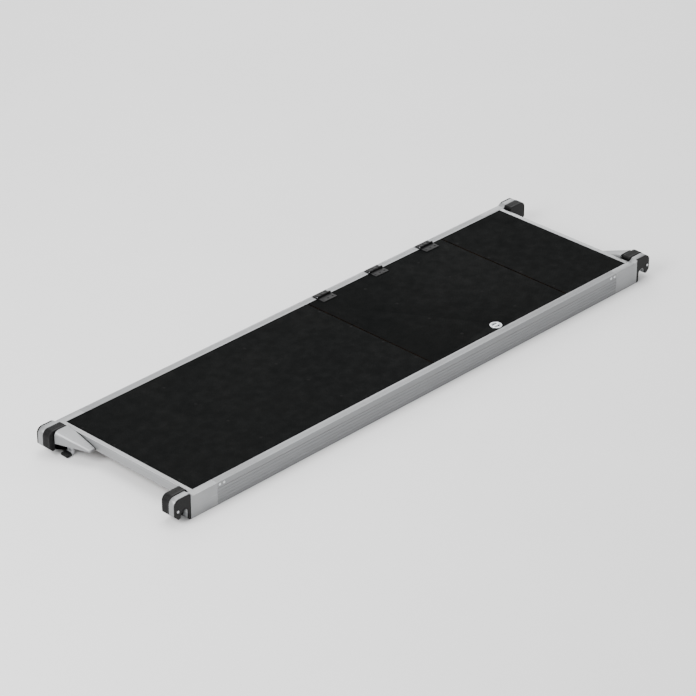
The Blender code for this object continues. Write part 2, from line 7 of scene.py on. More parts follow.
import json
import logging
import math
from collections.abc import Callable, Mapping, Sequence
from dataclasses import dataclass
from enum import Enum

import bmesh
import bpy
import numpy as np
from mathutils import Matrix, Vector

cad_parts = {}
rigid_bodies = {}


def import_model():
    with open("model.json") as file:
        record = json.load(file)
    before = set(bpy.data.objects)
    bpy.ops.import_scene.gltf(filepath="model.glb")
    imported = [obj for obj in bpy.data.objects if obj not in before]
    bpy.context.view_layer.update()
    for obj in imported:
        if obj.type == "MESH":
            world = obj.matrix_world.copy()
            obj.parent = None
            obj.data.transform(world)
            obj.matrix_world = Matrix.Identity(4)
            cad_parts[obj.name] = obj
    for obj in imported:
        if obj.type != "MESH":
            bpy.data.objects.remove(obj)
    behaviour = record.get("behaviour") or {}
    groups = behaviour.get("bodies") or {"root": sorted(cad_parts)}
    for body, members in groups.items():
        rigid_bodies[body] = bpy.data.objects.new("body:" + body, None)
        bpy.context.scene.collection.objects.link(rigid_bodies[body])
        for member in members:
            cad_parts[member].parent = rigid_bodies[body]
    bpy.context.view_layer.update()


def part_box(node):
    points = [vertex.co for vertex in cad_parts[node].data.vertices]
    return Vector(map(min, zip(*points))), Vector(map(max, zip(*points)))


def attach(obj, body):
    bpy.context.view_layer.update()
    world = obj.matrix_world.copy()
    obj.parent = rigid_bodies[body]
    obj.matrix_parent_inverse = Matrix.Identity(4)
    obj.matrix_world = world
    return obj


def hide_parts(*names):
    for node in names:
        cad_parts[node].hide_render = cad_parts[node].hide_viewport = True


Socket = bpy.types.NodeSocket
Pair = tuple[float, float]
Triple = tuple[float, float, float]

log = logging.getLogger("plank")

# The grid that nodes are laid out on
COLUMNS, COLUMN_WIDTH, ROW_HEIGHT = 9, 200, 220
# How far from a point its edges are felt for, and the nooks where shade is painted
EDGE_REACH, SHADE_REACH = 0.0014, 0.004
SCRATCH_TURNS = ((0.2, 0.5, 0.35), (0.9, -0.4, 1.4), (0.4, 0.8, -0.7))
# How near two corners of a node are one, and how flat an edge is no edge, in degrees
MERGE, FLAT = 2e-6, 0.5
# The least radius at a pole, so that its ring isn't a point
POLE = 2e-5


# ---------------------------------------------------------------- shapes

class Axis(Enum):
    """The straight direction of a swept or turned shape, as the order of (a, b, level)."""

    X = (2, 0, 1)
    Y = (0, 2, 1)
    Z = (0, 1, 2)


class Corner(Enum):
    """The four corners of the plank, as the signs of X and Y."""

    NEAR_LEFT = (-1, 1)
    NEAR_RIGHT = (-1, -1)
    FAR_LEFT = (1, 1)
    FAR_RIGHT = (1, -1)

    @property
    def word(self) -> str:
        """The corner's part of a node's name."""
        return self.name.lower()


@dataclass
class Shell:
    """One or more closed surfaces: points, and faces as tuples of point numbers."""

    points: np.ndarray
    faces: list[tuple[int, ...]]

    def mirrored(self, signs: tuple[int, int]) -> Shell:
        """The same shell at another corner of the plank, still facing outwards.

        Args:
            signs: the signs of X and Y there.

        Returns:
            The moved shell.
        """
        points = self.points * np.array([signs[0], signs[1], 1.0])
        if signs[0] * signs[1] > 0:
            return Shell(points, self.faces)
        return Shell(points, [face[::-1] for face in self.faces])

    @staticmethod
    def joined(shells: Sequence[Shell]) -> Shell:
        """Several shells as one, with their faces renumbered.

        Args:
            shells: the shells.

        Returns:
            The one shell.
        """
        faces: list[tuple[int, ...]] = []
        start = 0
        for shell in shells:
            faces += [tuple(i + start for i in face) for face in shell.faces]
            start += len(shell.points)
        return Shell(np.concatenate([shell.points for shell in shells]), faces)


def grid_shell(rings: np.ndarray, closed: bool = False) -> Shell:
    """A surface through rings of points, capped at its ends or joined into a loop.

    Ring r and point n meet ring r + 1 and point n + 1 in one quad. A signed volume, the sum of
    each quad's corner times its normal, says which way the faces must turn to face outwards.

    Args:
        rings: an array of rings by points by 3.
        closed: joins the last ring to the first instead of capping both.

    Returns:
        The closed shell.
    """
    count, size = rings.shape[:2]
    number = np.arange(count * size).reshape(count, size)
    here = number if closed else number[:-1]
    above = np.roll(number, -1, axis=0) if closed else number[1:]
    quads = np.stack([here, np.roll(here, -1, axis=1), np.roll(above, -1, axis=1), above], axis=-1)
    quads = quads.reshape(-1, 4)
    points = rings.reshape(-1, 3)
    corners = points[quads]
    centre = points.mean(axis=0)
    normals = np.cross(corners[:, 2] - corners[:, 0], corners[:, 3] - corners[:, 1])
    volume = np.einsum("ij,ij->", corners.mean(axis=1) - centre, normals)
    faces = [tuple(quad) for quad in quads.tolist()]
    if not closed:
        faces += [tuple(number[0, ::-1].tolist()), tuple(number[-1].tolist())]
    if volume < 0:
        faces = [face[::-1] for face in faces]
    return Shell(points, faces)


def laid(outline: np.ndarray, axis: Axis, levels: np.ndarray) -> np.ndarray:
    """Outlines placed in space: outline (rings, n, 2) or (n, 2) at each level along an axis.

    Args:
        outline: one outline for all levels, or one for each.
        axis: the direction of the levels.
        levels: where each ring lies.

    Returns:
        Rings by points by 3.
    """
    flat = np.broadcast_to(outline, (len(levels), *outline.shape[-2:]))
    level = np.broadcast_to(levels[:, None, None], (*flat.shape[:2], 1))
    return np.concatenate([flat, level], axis=2)[:, :, list(axis.value)]


def filleted(outline: Sequence[Pair], radius: float, steps: int = 4) -> np.ndarray:
    """An outline with each corner rounded.

    A corner C between neighbours A and B becomes the curve (1-t)^2 P + 2t(1-t) C + t^2 Q, where P
    and Q lie the radius, or at most 0.45 of the edge, back along its two edges.

    Args:
        outline: the corners, in order.
        radius: how far back along its edges a corner's curve starts.
        steps: points on each corner's curve, less one.

    Returns:
        The rounded outline, as an array of points by 2.
    """
    corner = np.array(outline)
    before, after = np.roll(corner, 1, axis=0) - corner, np.roll(corner, -1, axis=0) - corner
    reach = [np.minimum(radius, 0.45 * np.linalg.norm(edge, axis=1))[:, None] for edge in (before, after)]
    start = corner + before / np.linalg.norm(before, axis=1)[:, None] * reach[0]
    end = corner + after / np.linalg.norm(after, axis=1)[:, None] * reach[1]
    t = np.linspace(0, 1, steps + 1)[None, :, None]
    curve = (1 - t) ** 2 * start[:, None] + 2 * t * (1 - t) * corner[:, None] + t ** 2 * end[:, None]
    return curve.reshape(-1, 2)


def inset(outline: np.ndarray, depth: np.ndarray) -> np.ndarray:
    """An outline moved inwards by each of several depths.

    Each point moves along the mean of its two edges' inward normals, by the depth over the cosine
    of half the turn, so that every edge moves by the depth.

    Args:
        outline: points by 2.
        depth: one depth for each ring wanted.

    Returns:
        Rings by points by 2.
    """
    edge = np.roll(outline, -1, axis=0) - outline
    area = np.sum(outline[:, 0] * np.roll(outline[:, 1], -1) - outline[:, 1] * np.roll(outline[:, 0], -1))
    normal = np.stack([-edge[:, 1], edge[:, 0]], axis=1) * np.sign(area)
    normal /= np.linalg.norm(normal, axis=1)[:, None] + 1e-12
    mean = normal + np.roll(normal, 1, axis=0)
    mean /= np.maximum((mean ** 2).sum(axis=1)[:, None] / 2, 0.5)
    return outline[None] + mean[None] * np.asarray(depth)[:, None, None]


def plate(outline: np.ndarray, axis: Axis, low: float, high: float, edge: float,
          grooves: Sequence[Triple] = (), steps: int = 4) -> Shell:
    """A flat solid with rounded rims, and grooves round it if asked.

    At angle k from 0 to 90 degrees the rim lies edge (1 - sin k) inside the outline and
    edge (1 - cos k) in from the face.

    Args:
        outline: points by 2.
        axis: the direction of the thickness.
        low: the level of one face.
        high: the level of the other.
        edge: radius of the rims.
        grooves: each groove's middle level, half width and depth.
        steps: parts of each rim's quarter turn.

    Returns:
        The closed shell.
    """
    angle = np.linspace(0, np.pi / 2, steps + 1)
    depth, rise = edge * (1 - np.sin(angle)), edge * (1 - np.cos(angle))
    stations = list(zip(low + rise, depth))
    for middle, half, sunk in sorted(grooves):
        across = np.linspace(-1, 1, 5)
        stations += list(zip(middle + half * across, sunk * (1 - across ** 2) ** 0.5))
    stations += list(zip(high - rise[::-1], depth[::-1]))
    levels, depths = np.array(stations).T
    return grid_shell(laid(inset(outline, depths), axis, levels))


def turned(profile: Sequence[Pair], axis: Axis, centre: Pair,
           segments: int = 32, closed: bool = False) -> Shell:
    """A profile of (radius, level) carried round an axis.

    Point (r, h) becomes the circle centre + r (cos a, sin a) at level h.

    Args:
        profile: radius and level pairs, in order.
        axis: the direction of the axis.
        centre: where the axis stands, in the other two directions.
        segments: points round the circle.
        closed: the profile is a loop, as for a ring.

    Returns:
        The closed shell.
    """
    radius, level = np.array(profile).T
    angle = np.linspace(0, 2 * np.pi, segments, endpoint=False)
    circle = np.stack([np.cos(angle), np.sin(angle)], axis=1)
    rings = np.array(centre) + np.maximum(radius, POLE)[:, None, None] * circle[None]
    return grid_shell(laid(rings, axis, level), closed)


def tube(path: np.ndarray, radius: np.ndarray | float, across: Triple,
         sides: int = 10) -> Shell:
    """A round section carried along a path.

    At each point the section stands in the plane of n = t x across and t x n, t being the path's
    direction, so the path never runs along the direction across.

    Args:
        path: points by 3.
        radius: one radius, or one for each point.
        across: a direction that the path doesn't take.
        sides: points round the section.

    Returns:
        The closed shell.
    """
    along = np.gradient(path, axis=0)
    along /= np.linalg.norm(along, axis=1)[:, None]
    first = np.cross(along, np.array(across))
    first /= np.linalg.norm(first, axis=1)[:, None]
    second = np.cross(along, first)
    angle = np.linspace(0, 2 * np.pi, sides, endpoint=False)[None, :, None]
    size = np.broadcast_to(radius, len(path))[:, None, None]
    rings = path[:, None] + size * (np.cos(angle) * first[:, None] + np.sin(angle) * second[:, None])
    return grid_shell(rings)


def dome(axis: Axis, centre: Pair, base: float, radius: float, height: float,
         outward: int = 1, segments: int = 24) -> Shell:
    """A low round fastener head: r falls as cos, and the level rises as sin, of one angle.

    Args:
        axis: the direction that it faces along.
        centre: its middle, in the other two directions.
        base: the level that it stands on.
        radius: its radius at the base.
        height: how far it stands up.
        outward: 1 or -1, the way that it faces.
        segments: points round it.

    Returns:
        The closed shell.
    """
    angle = np.linspace(0, np.pi / 2, 6)
    rim = 0.25 * height
    levels = base + outward * (rim + (height - rim) * np.sin(angle))
    profile = [(radius, base)] + list(zip(radius * np.cos(angle), levels))
    return turned(profile, axis, centre, segments)


def arc(centre: Pair, radius: float, start: float, end: float,
        steps: int) -> list[Pair]:
    """Points along an arc, from the start angle to the end angle in degrees."""
    angle = np.radians(np.linspace(start, end, steps + 1))
    return list(zip(centre[0] + radius * np.cos(angle), centre[1] + radius * np.sin(angle)))


# ---------------------------------------------------------------- pieces

def shown(name: str, data: bpy.types.ID) -> bpy.types.Object:
    """A new object in the scene, from a mesh, a light or a camera.

    Args:
        name: the object's name.
        data: what it shows.

    Returns:
        The object.
    """
    obj = bpy.data.objects.new(name, data)
    bpy.context.scene.collection.objects.link(obj)
    return obj


def finished(obj: bpy.types.Object, finish: bpy.types.Material, body: str,
             nodes: Sequence[str]) -> bpy.types.Object:
    """Gives a piece its material, its body and the nodes that it stands for.

    Args:
        obj: the piece.
        finish: its material.
        body: the body that it moves with.
        nodes: nodes of the frame that it replaces, or none.

    Returns:
        The same piece.
    """
    obj.data.materials.clear()
    obj.data.materials.append(finish)
    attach(obj, body)
    if nodes:
        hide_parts(*nodes)
    log.info("%s: %d points", obj.name, len(obj.data.vertices))
    return obj


def piece(name: str, shell: Shell, finish: bpy.types.Material, slot: str, body: str = "frame",
          nodes: Sequence[str] = (), smooth_angle: float = 32.0) -> bpy.types.Object:
    """A new piece from a shell, smooth but for its sharp edges.

    Args:
        name: its name.
        shell: its shape.
        finish: its material.
        slot: the record's slot, not used.
        body: the body that it moves with.
        nodes: the nodes that it replaces.
        smooth_angle: edges sharper than this stay sharp, in degrees.

    Returns:
        The new piece.
    """
    mesh = bpy.data.meshes.new(name)
    mesh.from_pydata(shell.points.tolist(), [], shell.faces)
    mesh.shade_smooth()
    mesh.set_sharp_from_angle(angle=math.radians(smooth_angle))
    obj = shown(name, mesh)
    weighted = obj.modifiers.new("flat faces", "WEIGHTED_NORMAL")
    weighted.keep_sharp = True
    return finished(obj, finish, body, nodes)


def eased(node: str, width: float, finish: bpy.types.Material, slot: str, body: str = "frame",
          segments: int = 3) -> bpy.types.Object:
    """A copy of a node with its corners merged and its edges rounded.

    Args:
        node: the node to copy and replace.
        width: the rounding's width.
        finish: its material.
        slot: the record's slot, not used.
        body: the body that it moves with.
        segments: parts of each rounded edge.

    Returns:
        The new piece.
    """
    shape = bmesh.new()
    shape.from_mesh(bpy.data.objects[node].data)
    bmesh.ops.remove_doubles(shape, verts=shape.verts, dist=MERGE)
    bmesh.ops.dissolve_limit(shape, angle_limit=math.radians(FLAT), verts=shape.verts, edges=shape.edges)
    mesh = bpy.data.meshes.new("eased_" + node)
    shape.to_mesh(mesh)
    shape.free()
    mesh.shade_smooth()
    mesh.set_sharp_from_angle(angle=math.radians(180))
    obj = shown("eased_" + node, mesh)
    rounding = obj.modifiers.new("rounded edges", "BEVEL")
    rounding.width = width
    rounding.segments = segments
    rounding.limit_method = "ANGLE"
    rounding.angle_limit = math.radians(31)
    rounding.harden_normals = True
    return finished(obj, finish, body, [node])


# ---------------------------------------------------------------- finishes

class Wiring:
    """Adds nodes to one tree and joins them."""

    def __init__(self, tree: bpy.types.NodeTree) -> None:
        """Starts wiring a tree."""
        self.tree = tree

    def fill(self, node: bpy.types.Node, inputs: Mapping[str | int, object]) -> None:
        """Gives a node's inputs their values.

        Args:
            node: the node.
            inputs: values or sockets, by the input's name or number.
        """
        for name, value in inputs.items():
            if isinstance(value, Socket):
                self.tree.links.new(value, node.inputs[name])
            else:
                node.inputs[name].default_value = value

    def add(self, kind: str, inputs: Mapping[str | int, object] | None = None,
            **settings: object) -> bpy.types.Node:
        """Adds a node.

        Args:
            kind: the node's type.
            inputs: values or sockets for its inputs, by name or number.
            settings: its properties.

        Returns:
            The node.
        """
        node = self.tree.nodes.new(kind)
        row, column = divmod(len(self.tree.nodes), COLUMNS)
        node.location = (COLUMN_WIDTH * column, -ROW_HEIGHT * row)
        for name, value in settings.items():
            setattr(node, name, value)
        self.fill(node, inputs or {})
        return node

    def noise(self, vector: Socket, scale: float | Socket, detail: float = 4.0,
              roughness: float = 0.55) -> Socket:
        """Cloudy values from 0 to 1, at so many to the metre."""
        return self.add("ShaderNodeTexNoise", {"Vector": vector, "Scale": scale, "Detail": detail,
                                               "Roughness": roughness}).outputs["Fac"]

    def stretched(self, vector: Socket, scale: Triple, turn: Triple = (0.0, 0.0, 0.0)) -> Socket:
        """Coordinates turned and scaled."""
        return self.add("ShaderNodeMapping", {"Vector": vector, "Scale": scale,
                                              "Rotation": turn}).outputs["Vector"]

    def span(self, value: Socket, low: float, high: float, out_low: float = 0.0,
             out_high: float = 1.0) -> Socket:
        """A value's range from low to high spread over another range, and held inside it."""
        return self.add("ShaderNodeMapRange", {"Value": value, "From Min": low, "From Max": high,
                                               "To Min": out_low, "To Max": out_high}).outputs["Result"]

    def maths(self, operation: str, first: object, second: object = 0.0) -> Socket:
        """One arithmetic step."""
        return self.add("ShaderNodeMath", {0: first, 1: second}, operation=operation).outputs[0]

    def times(self, first: object, second: object) -> Socket:
        """One value times another."""
        return self.maths("MULTIPLY", first, second)

    def plus(self, first: object, second: object) -> Socket:
        """One value and another."""
        return self.maths("ADD", first, second)

    def most(self, first: object, *others: object) -> Socket:
        """The largest of several values.

        Args:
            first: a value.
            others: the rest.

        Returns:
            The largest.
        """
        for other in others:
            first = self.maths("MAXIMUM", first, other)
        return first

    def level(self, vector: Socket, axis: str) -> Socket:
        """One of a vector's three parts."""
        return self.add("ShaderNodeSeparateXYZ", {0: vector}).outputs[axis]

    def up(self) -> Socket:
        """How far the surface faces up, from -1 to 1."""
        return self.level(self.add("ShaderNodeTexCoord").outputs["Normal"], "Z")

    def blended(self, share: object, first: object, second: object) -> Socket:
        """One colour over another by a share."""
        first, second = [(*shade, 1) if isinstance(shade, tuple) else shade for shade in (first, second)]
        return self.add("ShaderNodeMix", {0: share, 6: first, 7: second}, data_type="RGBA").outputs[2]

    def effect(self, effect: Effect, place: Socket, **inputs: float) -> Socket:
        """Places a shared effect with its own values.

        Args:
            effect: which one.
            place: the coordinates that it reads.
            inputs: its other values, by name.

        Returns:
            What it puts out.
        """
        node = self.add("ShaderNodeGroup", node_tree=effect.group())
        self.fill(node, {"Place": place, **inputs})
        return node.outputs[effect.output]


@dataclass(frozen=True)
class Effect:
    """A shared effect: one node group, placed in each material with its own values.

    The wiring makes the group's inside from its inputs. Where the group has an amount, what it
    puts out is multiplied by that.
    """

    name: str
    wire: Callable[[Wiring, Mapping[str, Socket]], Socket]
    inputs: tuple[tuple[str, float], ...] = (("Amount", 1.0),)
    output: str = "Mask"

    def group(self) -> bpy.types.NodeTree:
        """The node group, made the first time that it is asked for.

        Returns:
            The group.
        """
        if self.name in bpy.data.node_groups:
            return bpy.data.node_groups[self.name]
        group = bpy.data.node_groups.new(self.name, "ShaderNodeTree")
        group.interface.new_socket("Place", in_out="INPUT", socket_type="NodeSocketVector")
        for label, value in self.inputs:
            socket = group.interface.new_socket(label, in_out="INPUT", socket_type="NodeSocketFloat")
            socket.default_value = value
        group.interface.new_socket(self.output, in_out="OUTPUT", socket_type="NodeSocketFloat")
        w = Wiring(group)
        given = group.nodes.new("NodeGroupInput").outputs
        result = self.wire(w, given)
        if "Amount" in dict(self.inputs):
            result = w.times(result, given["Amount"])
        group.links.new(result, group.nodes.new("NodeGroupOutput").inputs[self.output])
        return group


def scuffs(w: Wiring, given: Mapping[str, Socket]) -> Socket:
    """Scuffs from handling: two clouds of different size, multiplied and cut off low.

    Args:
        w: the group's wiring.
        given: its inputs.

    Returns:
        The mask.
    """
    broad = w.noise(given["Place"], given["Scale"], 6.0, 0.65)
    fine = w.noise(w.stretched(given["Place"], (1.0, 2.6, 1.7)), 160.0, 5.0, 0.7)
    return w.times(w.span(broad, 0.48, 0.72), w.span(fine, 0.40, 0.75))


def rubbed_edges(w: Wiring, given: Mapping[str, Socket]) -> Socket:
    """Edges rubbed bright: how open it is just under the skin, broken up by a cloud.

    Args:
        w: the group's wiring.
        given: its inputs.

    Returns:
        The mask.
    """
    near = w.add("ShaderNodeAmbientOcclusion", {"Distance": EDGE_REACH}, samples=4, inside=True,
                 only_local=True).outputs["AO"]
    return w.times(w.span(near, 0.90, 0.60), w.span(w.noise(given["Place"], 120.0, 5.0, 0.7), 0.32, 0.66))


def nook_shade_mask(w: Wiring, given: Mapping[str, Socket]) -> Socket:
    """Painted shade in grooves and corners: how shut in the surface is, broken up by a cloud.

    Args:
        w: the group's wiring.
        given: its inputs.

    Returns:
        The mask.
    """
    shut = w.add("ShaderNodeAmbientOcclusion", {"Distance": SHADE_REACH}, samples=4).outputs["AO"]
    held = w.noise(given["Place"], 90.0, 5.0, 0.65)
    return w.times(w.span(shut, 0.82, 0.35), w.span(held, 0.25, 0.60, 0.45, 1.0))


def dust(w: Wiring, given: Mapping[str, Socket]) -> Socket:
    """Dust: a broad cloud times a fine one, thickest on faces that look up.

    Args:
        w: the group's wiring.
        given: its inputs.

    Returns:
        The mask.
    """
    cloud = w.times(w.span(w.noise(given["Place"], 5.0, 5.0, 0.6), 0.35, 0.75),
                    w.span(w.noise(given["Place"], 420.0, 3.0, 0.6), 0.30, 0.70))
    return w.times(cloud, w.span(w.up(), -0.2, 0.9, 0.25, 1.0))


def scratches(w: Wiring, given: Mapping[str, Socket]) -> Socket:
    """Thin scratches: clouds drawn out 70 to 1 in three directions, of which only the crests stay.

    Args:
        w: the group's wiring.
        given: its inputs.

    Returns:
        The mask.
    """
    drawn = [w.stretched(given["Place"], (9.0, 620.0, 620.0), turn) for turn in SCRATCH_TURNS]
    crests = w.most(*[w.span(w.noise(place, 1.0, 2.0, 0.5), 0.70, 0.78) for place in drawn])
    return w.times(crests, w.span(w.noise(given["Place"], 7.0, 3.0), 0.42, 0.62))


def rung_rubbing(w: Wiring, given: Mapping[str, Socket]) -> Socket:
    """Rubbing by the rungs: how near a point lies to either rung's skin, broken up by a cloud.

    Args:
        w: the group's wiring.
        given: its inputs.

    Returns:
        The mask.
    """
    across = w.maths("SUBTRACT", w.maths("ABSOLUTE", w.level(given["Place"], "X")), Claws.rung_x)
    height = w.maths("SUBTRACT", w.level(given["Place"], "Z"), Claws.rung_z)
    away = w.maths("SQRT", w.plus(w.times(across, across), w.times(height, height)))
    cloud = w.span(w.noise(given["Place"], 260.0, 5.0, 0.7), 0.30, 0.60, 0.2, 1.0)
    return w.times(w.span(away, Claws.throat + 0.0025, Claws.throat + 0.0002), cloud)


def die_lines(w: Wiring, given: Mapping[str, Socket]) -> Socket:
    """Fine lines along X: clouds drawn out about 400 to 1, one set finer than the other.

    Args:
        w: the group's wiring.
        given: its inputs.

    Returns:
        The lines' height.
    """
    coarse = w.noise(w.stretched(given["Place"], (1.2, 420.0, 420.0)), 1.0, 3.0, 0.6)
    fine = w.noise(w.stretched(given["Place"], (5.0, 2200.0, 2200.0)), 1.0, 2.0, 0.6)
    return w.plus(w.times(coarse, 0.6), w.times(fine, 0.4))


SCUFFS = Effect("handling_wear", scuffs, (("Scale", 6.0), ("Amount", 1.0)))
EDGES = Effect("rubbed_edges", rubbed_edges)
NOOK_SHADE = Effect("painted_nook_shade", nook_shade_mask)
DUST = Effect("settled_dust", dust)
SCRATCHES = Effect("thin_scratches", scratches)
RUBBING = Effect("rung_rubbing", rung_rubbing)
LINES = Effect("drawn_lines", die_lines, (), "Lines")


class Run(Enum):
    """Which way an extrusion's die lines run, as a turn about Z."""

    ALONG = 0.0
    ACROSS = math.pi / 2


@dataclass(frozen=True)
class Surface:
    """What a finish joins to its shader: colour, roughness, and a height for the bump."""

    colour: Socket
    roughness: Socket
    height: Socket
    strength: float
    distance: float


@dataclass(frozen=True)
class Finish:
    """A surface's plain values, which each kind of finish adds its own detail to."""

    name: str
    colour: Triple
    worn: Triple
    roughness: Pair
    metallic: float
    gloss: float = 0.5

    def surface(self, w: Wiring, place: Socket) -> Surface:
        """The detail of this kind of finish, from the object coordinates."""
        raise NotImplementedError

    def build(self) -> bpy.types.Material:
        """Makes the material.

        Returns:
            The material.
        """
        material = bpy.data.materials.new(self.name)
        material.use_nodes = True
        w = Wiring(material.node_tree)
        shader = material.node_tree.nodes["Principled BSDF"]
        made = self.surface(w, w.add("ShaderNodeTexCoord").outputs["Object"])
        bump = w.add("ShaderNodeBump", {"Height": made.height, "Strength": made.strength,
                                        "Distance": made.distance})
        w.fill(shader, {"Metallic": self.metallic, "Specular IOR Level": self.gloss,
                        "Base Color": made.colour, "Roughness": made.roughness,
                        "Normal": bump.outputs["Normal"]})
        return material


@dataclass(frozen=True)
class Extruded(Finish):
    """Mill-finish aluminium with die lines, dull oxide clouds, scuffs and dust."""

    run: Run = Run.ALONG
    line_shade: Triple = (0.13, 0.133, 0.137)
    rubbed_shade: Triple = (0.46, 0.47, 0.48)
    painted_nook_colour: Triple = (0.045, 0.043, 0.040)
    scratch_shade: Triple = (0.48, 0.49, 0.50)
    dust_shade: Triple = (0.19, 0.182, 0.17)

    def surface(self, w: Wiring, place: Socket) -> Surface:
        """Die lines and oxide along the run, under wear, dust and painted shade in the grooves.

        Args:
            w: the material's wiring.
            place: its object coordinates.

        Returns:
            The surface.
        """
        along = w.stretched(place, (1.0, 1.0, 1.0), (0.0, 0.0, self.run.value))
        lines = w.effect(LINES, along)
        oxide = w.span(w.noise(w.stretched(along, (0.06, 1.0, 1.0)), 32.0, 4.0, 0.5), 0.30, 0.70)
        handled = w.effect(SCUFFS, place, Scale=14.0, Amount=0.7)
        dusty = w.effect(DUST, place, Amount=0.35)
        scratched = w.effect(SCRATCHES, place, Amount=0.75)
        metal = w.blended(w.times(oxide, 0.55), self.colour, self.worn)
        metal = w.blended(w.span(lines, 0.40, 0.62, 0.0, 0.25), metal, self.line_shade)
        metal = w.blended(w.effect(EDGES, place, Amount=0.8), metal, self.rubbed_shade)
        # Painted shade: darker where the surface is shut in, in grooves and where parts meet
        metal = w.blended(w.effect(NOOK_SHADE, place, Amount=0.85), metal, self.painted_nook_colour)
        metal = w.blended(scratched, metal, self.scratch_shade)
        metal = w.blended(dusty, metal, self.dust_shade)
        rough = w.plus(w.span(lines, 0.35, 0.65, *self.roughness), w.times(handled, 0.08))
        rough = w.plus(rough, w.times(dusty, 0.30))
        height = w.maths("SUBTRACT", lines, w.most(w.times(handled, 0.4), scratched))
        return Surface(metal, rough, height, 0.35, 0.00025)


@dataclass(frozen=True)
class Cast(Finish):
    """Blasted die-cast aluminium: a pebbled skin, rubbed edges and grey handling marks."""

    grain: float = 2300.0
    edge_wear: float = 0.9
    pit_painted_shade: Triple = (0.16, 0.16, 0.16)
    painted_nook_colour: Triple = (0.05, 0.048, 0.045)
    scuff_shade: Triple = (0.20, 0.20, 0.20)
    rubbed_shade: Triple = (0.50, 0.51, 0.52)

    def surface(self, w: Wiring, place: Socket) -> Surface:
        """Painted shade in the pebbles' pits and in the nooks, brighter where edges, scratches and rungs
        have rubbed.

        Args:
            w: the material's wiring.
            place: its object coordinates.

        Returns:
            The surface.
        """
        pebble = w.noise(place, self.grain, 3.0, 0.6)
        cloud = w.span(w.noise(place, 9.0, 4.0, 0.5), 0.30, 0.72)
        handled = w.effect(SCUFFS, place, Scale=34.0, Amount=0.5)
        bright = w.most(w.effect(EDGES, place, Amount=self.edge_wear),
                        w.effect(SCRATCHES, place, Amount=0.8), w.effect(RUBBING, place, Amount=0.9))
        metal = w.blended(cloud, self.colour, self.worn)
        # Painted shade: darker in the low pits of the pebbled bump
        metal = w.blended(w.span(pebble, 0.25, 0.50, 0.35, 0.0), metal, self.pit_painted_shade)
        # Painted shade: darker where the surface is shut in, in corners and where parts meet
        metal = w.blended(w.effect(NOOK_SHADE, place, Amount=0.6), metal, self.painted_nook_colour)
        metal = w.blended(w.times(handled, 0.5), metal, self.scuff_shade)
        metal = w.blended(bright, metal, self.rubbed_shade)
        rough = w.span(pebble, 0.3, 0.7, *self.roughness)
        rough = w.maths("SUBTRACT", rough, w.times(bright, 0.18))
        return Surface(metal, w.plus(rough, w.times(handled, 0.05)), pebble, 0.40, 0.0003)


@dataclass(frozen=True)
class FilmPly(Finish):
    """Film-faced plywood: a black pressed mesh on top, sealed layers at the edges, brown below."""

    mesh_pitch: float = 0.0052
    layer: float = 0.0014
    wire_shade: Triple = (0.0056, 0.0062, 0.0062)
    dust_shade: Triple = (0.030, 0.028, 0.025)
    wood: tuple[Triple, Triple] = ((0.016, 0.010, 0.006), (0.050, 0.031, 0.017))
    sealer: Triple = (0.0045, 0.0042, 0.0040)
    below: tuple[Triple, Triple] = ((0.042, 0.021, 0.012), (0.074, 0.038, 0.022))
    below_worn: Triple = (0.120, 0.090, 0.066)

    def surface(self, w: Wiring, place: Socket) -> Surface:
        """The mesh is |sin| of two diagonal directions, and a layer is a sine of the height.

        Args:
            w: the material's wiring.
            place: its object coordinates.

        Returns:
            The surface.
        """
        diagonal = w.stretched(place, (1.0, 1.0, 1.0), (0.0, 0.0, math.pi / 4))
        waves = [w.maths("ABSOLUTE", w.maths("SINE", w.times(w.level(diagonal, axis),
                                                             math.pi / self.mesh_pitch)))
                 for axis in ("X", "Y")]
        wires = w.span(w.maths("MINIMUM", *waves), 0.05, 0.42, 1.0, 0.0)
        up = w.up()
        pressed = w.times(wires, w.span(up, 0.85, 0.95))
        handled = w.effect(SCUFFS, place, Scale=3.2, Amount=0.85)
        film = w.blended(w.times(pressed, 0.30), self.colour, self.wire_shade)
        film = w.blended(w.times(handled, w.span(pressed, 0.0, 1.0, 0.25, 0.75)), film, self.worn)
        film = w.blended(w.times(w.effect(DUST, place, Amount=0.55), 0.16), film, self.dust_shade)
        under = w.blended(w.span(w.noise(w.stretched(place, (0.6, 4.0, 1.0)), 16.0, 6.0, 0.65), 0.3, 0.7),
                          *self.below)
        under = w.blended(w.times(handled, 0.7), under, self.below_worn)
        film = w.blended(w.span(up, -0.85, -0.95), film, under)
        side = w.span(w.maths("ABSOLUTE", up), 0.5, 0.2)
        rough = w.span(w.noise(place, 30.0, 5.0, 0.6), 0.3, 0.7, *self.roughness)
        rough = w.plus(rough, w.times(pressed, -0.08))
        height = w.plus(pressed, w.times(w.noise(place, 1500.0, 2.0), 0.25))
        return Surface(w.blended(side, film, self.edge(w, place)), rough, height, 0.55, 0.0005)

    def edge(self, w: Wiring, place: Socket) -> Socket:
        """The panel's sawn edge: wavy layers under a blotchy sealer.

        Args:
            w: the material's wiring.
            place: its object coordinates.

        Returns:
            The colour.
        """
        wavy = w.plus(w.level(place, "Z"), w.times(w.noise(place, 60.0, 3.0), 0.0005))
        layers = w.span(w.maths("SINE", w.times(wavy, 2 * math.pi / self.layer)), -0.3, 0.3)
        blotches = w.noise(w.stretched(place, (1.0, 1.0, 3.0)), 70.0, 5.0, 0.65)
        return w.blended(w.span(blotches, 0.40, 0.62, 0.60, 1.0), w.blended(layers, *self.wood), self.sealer)


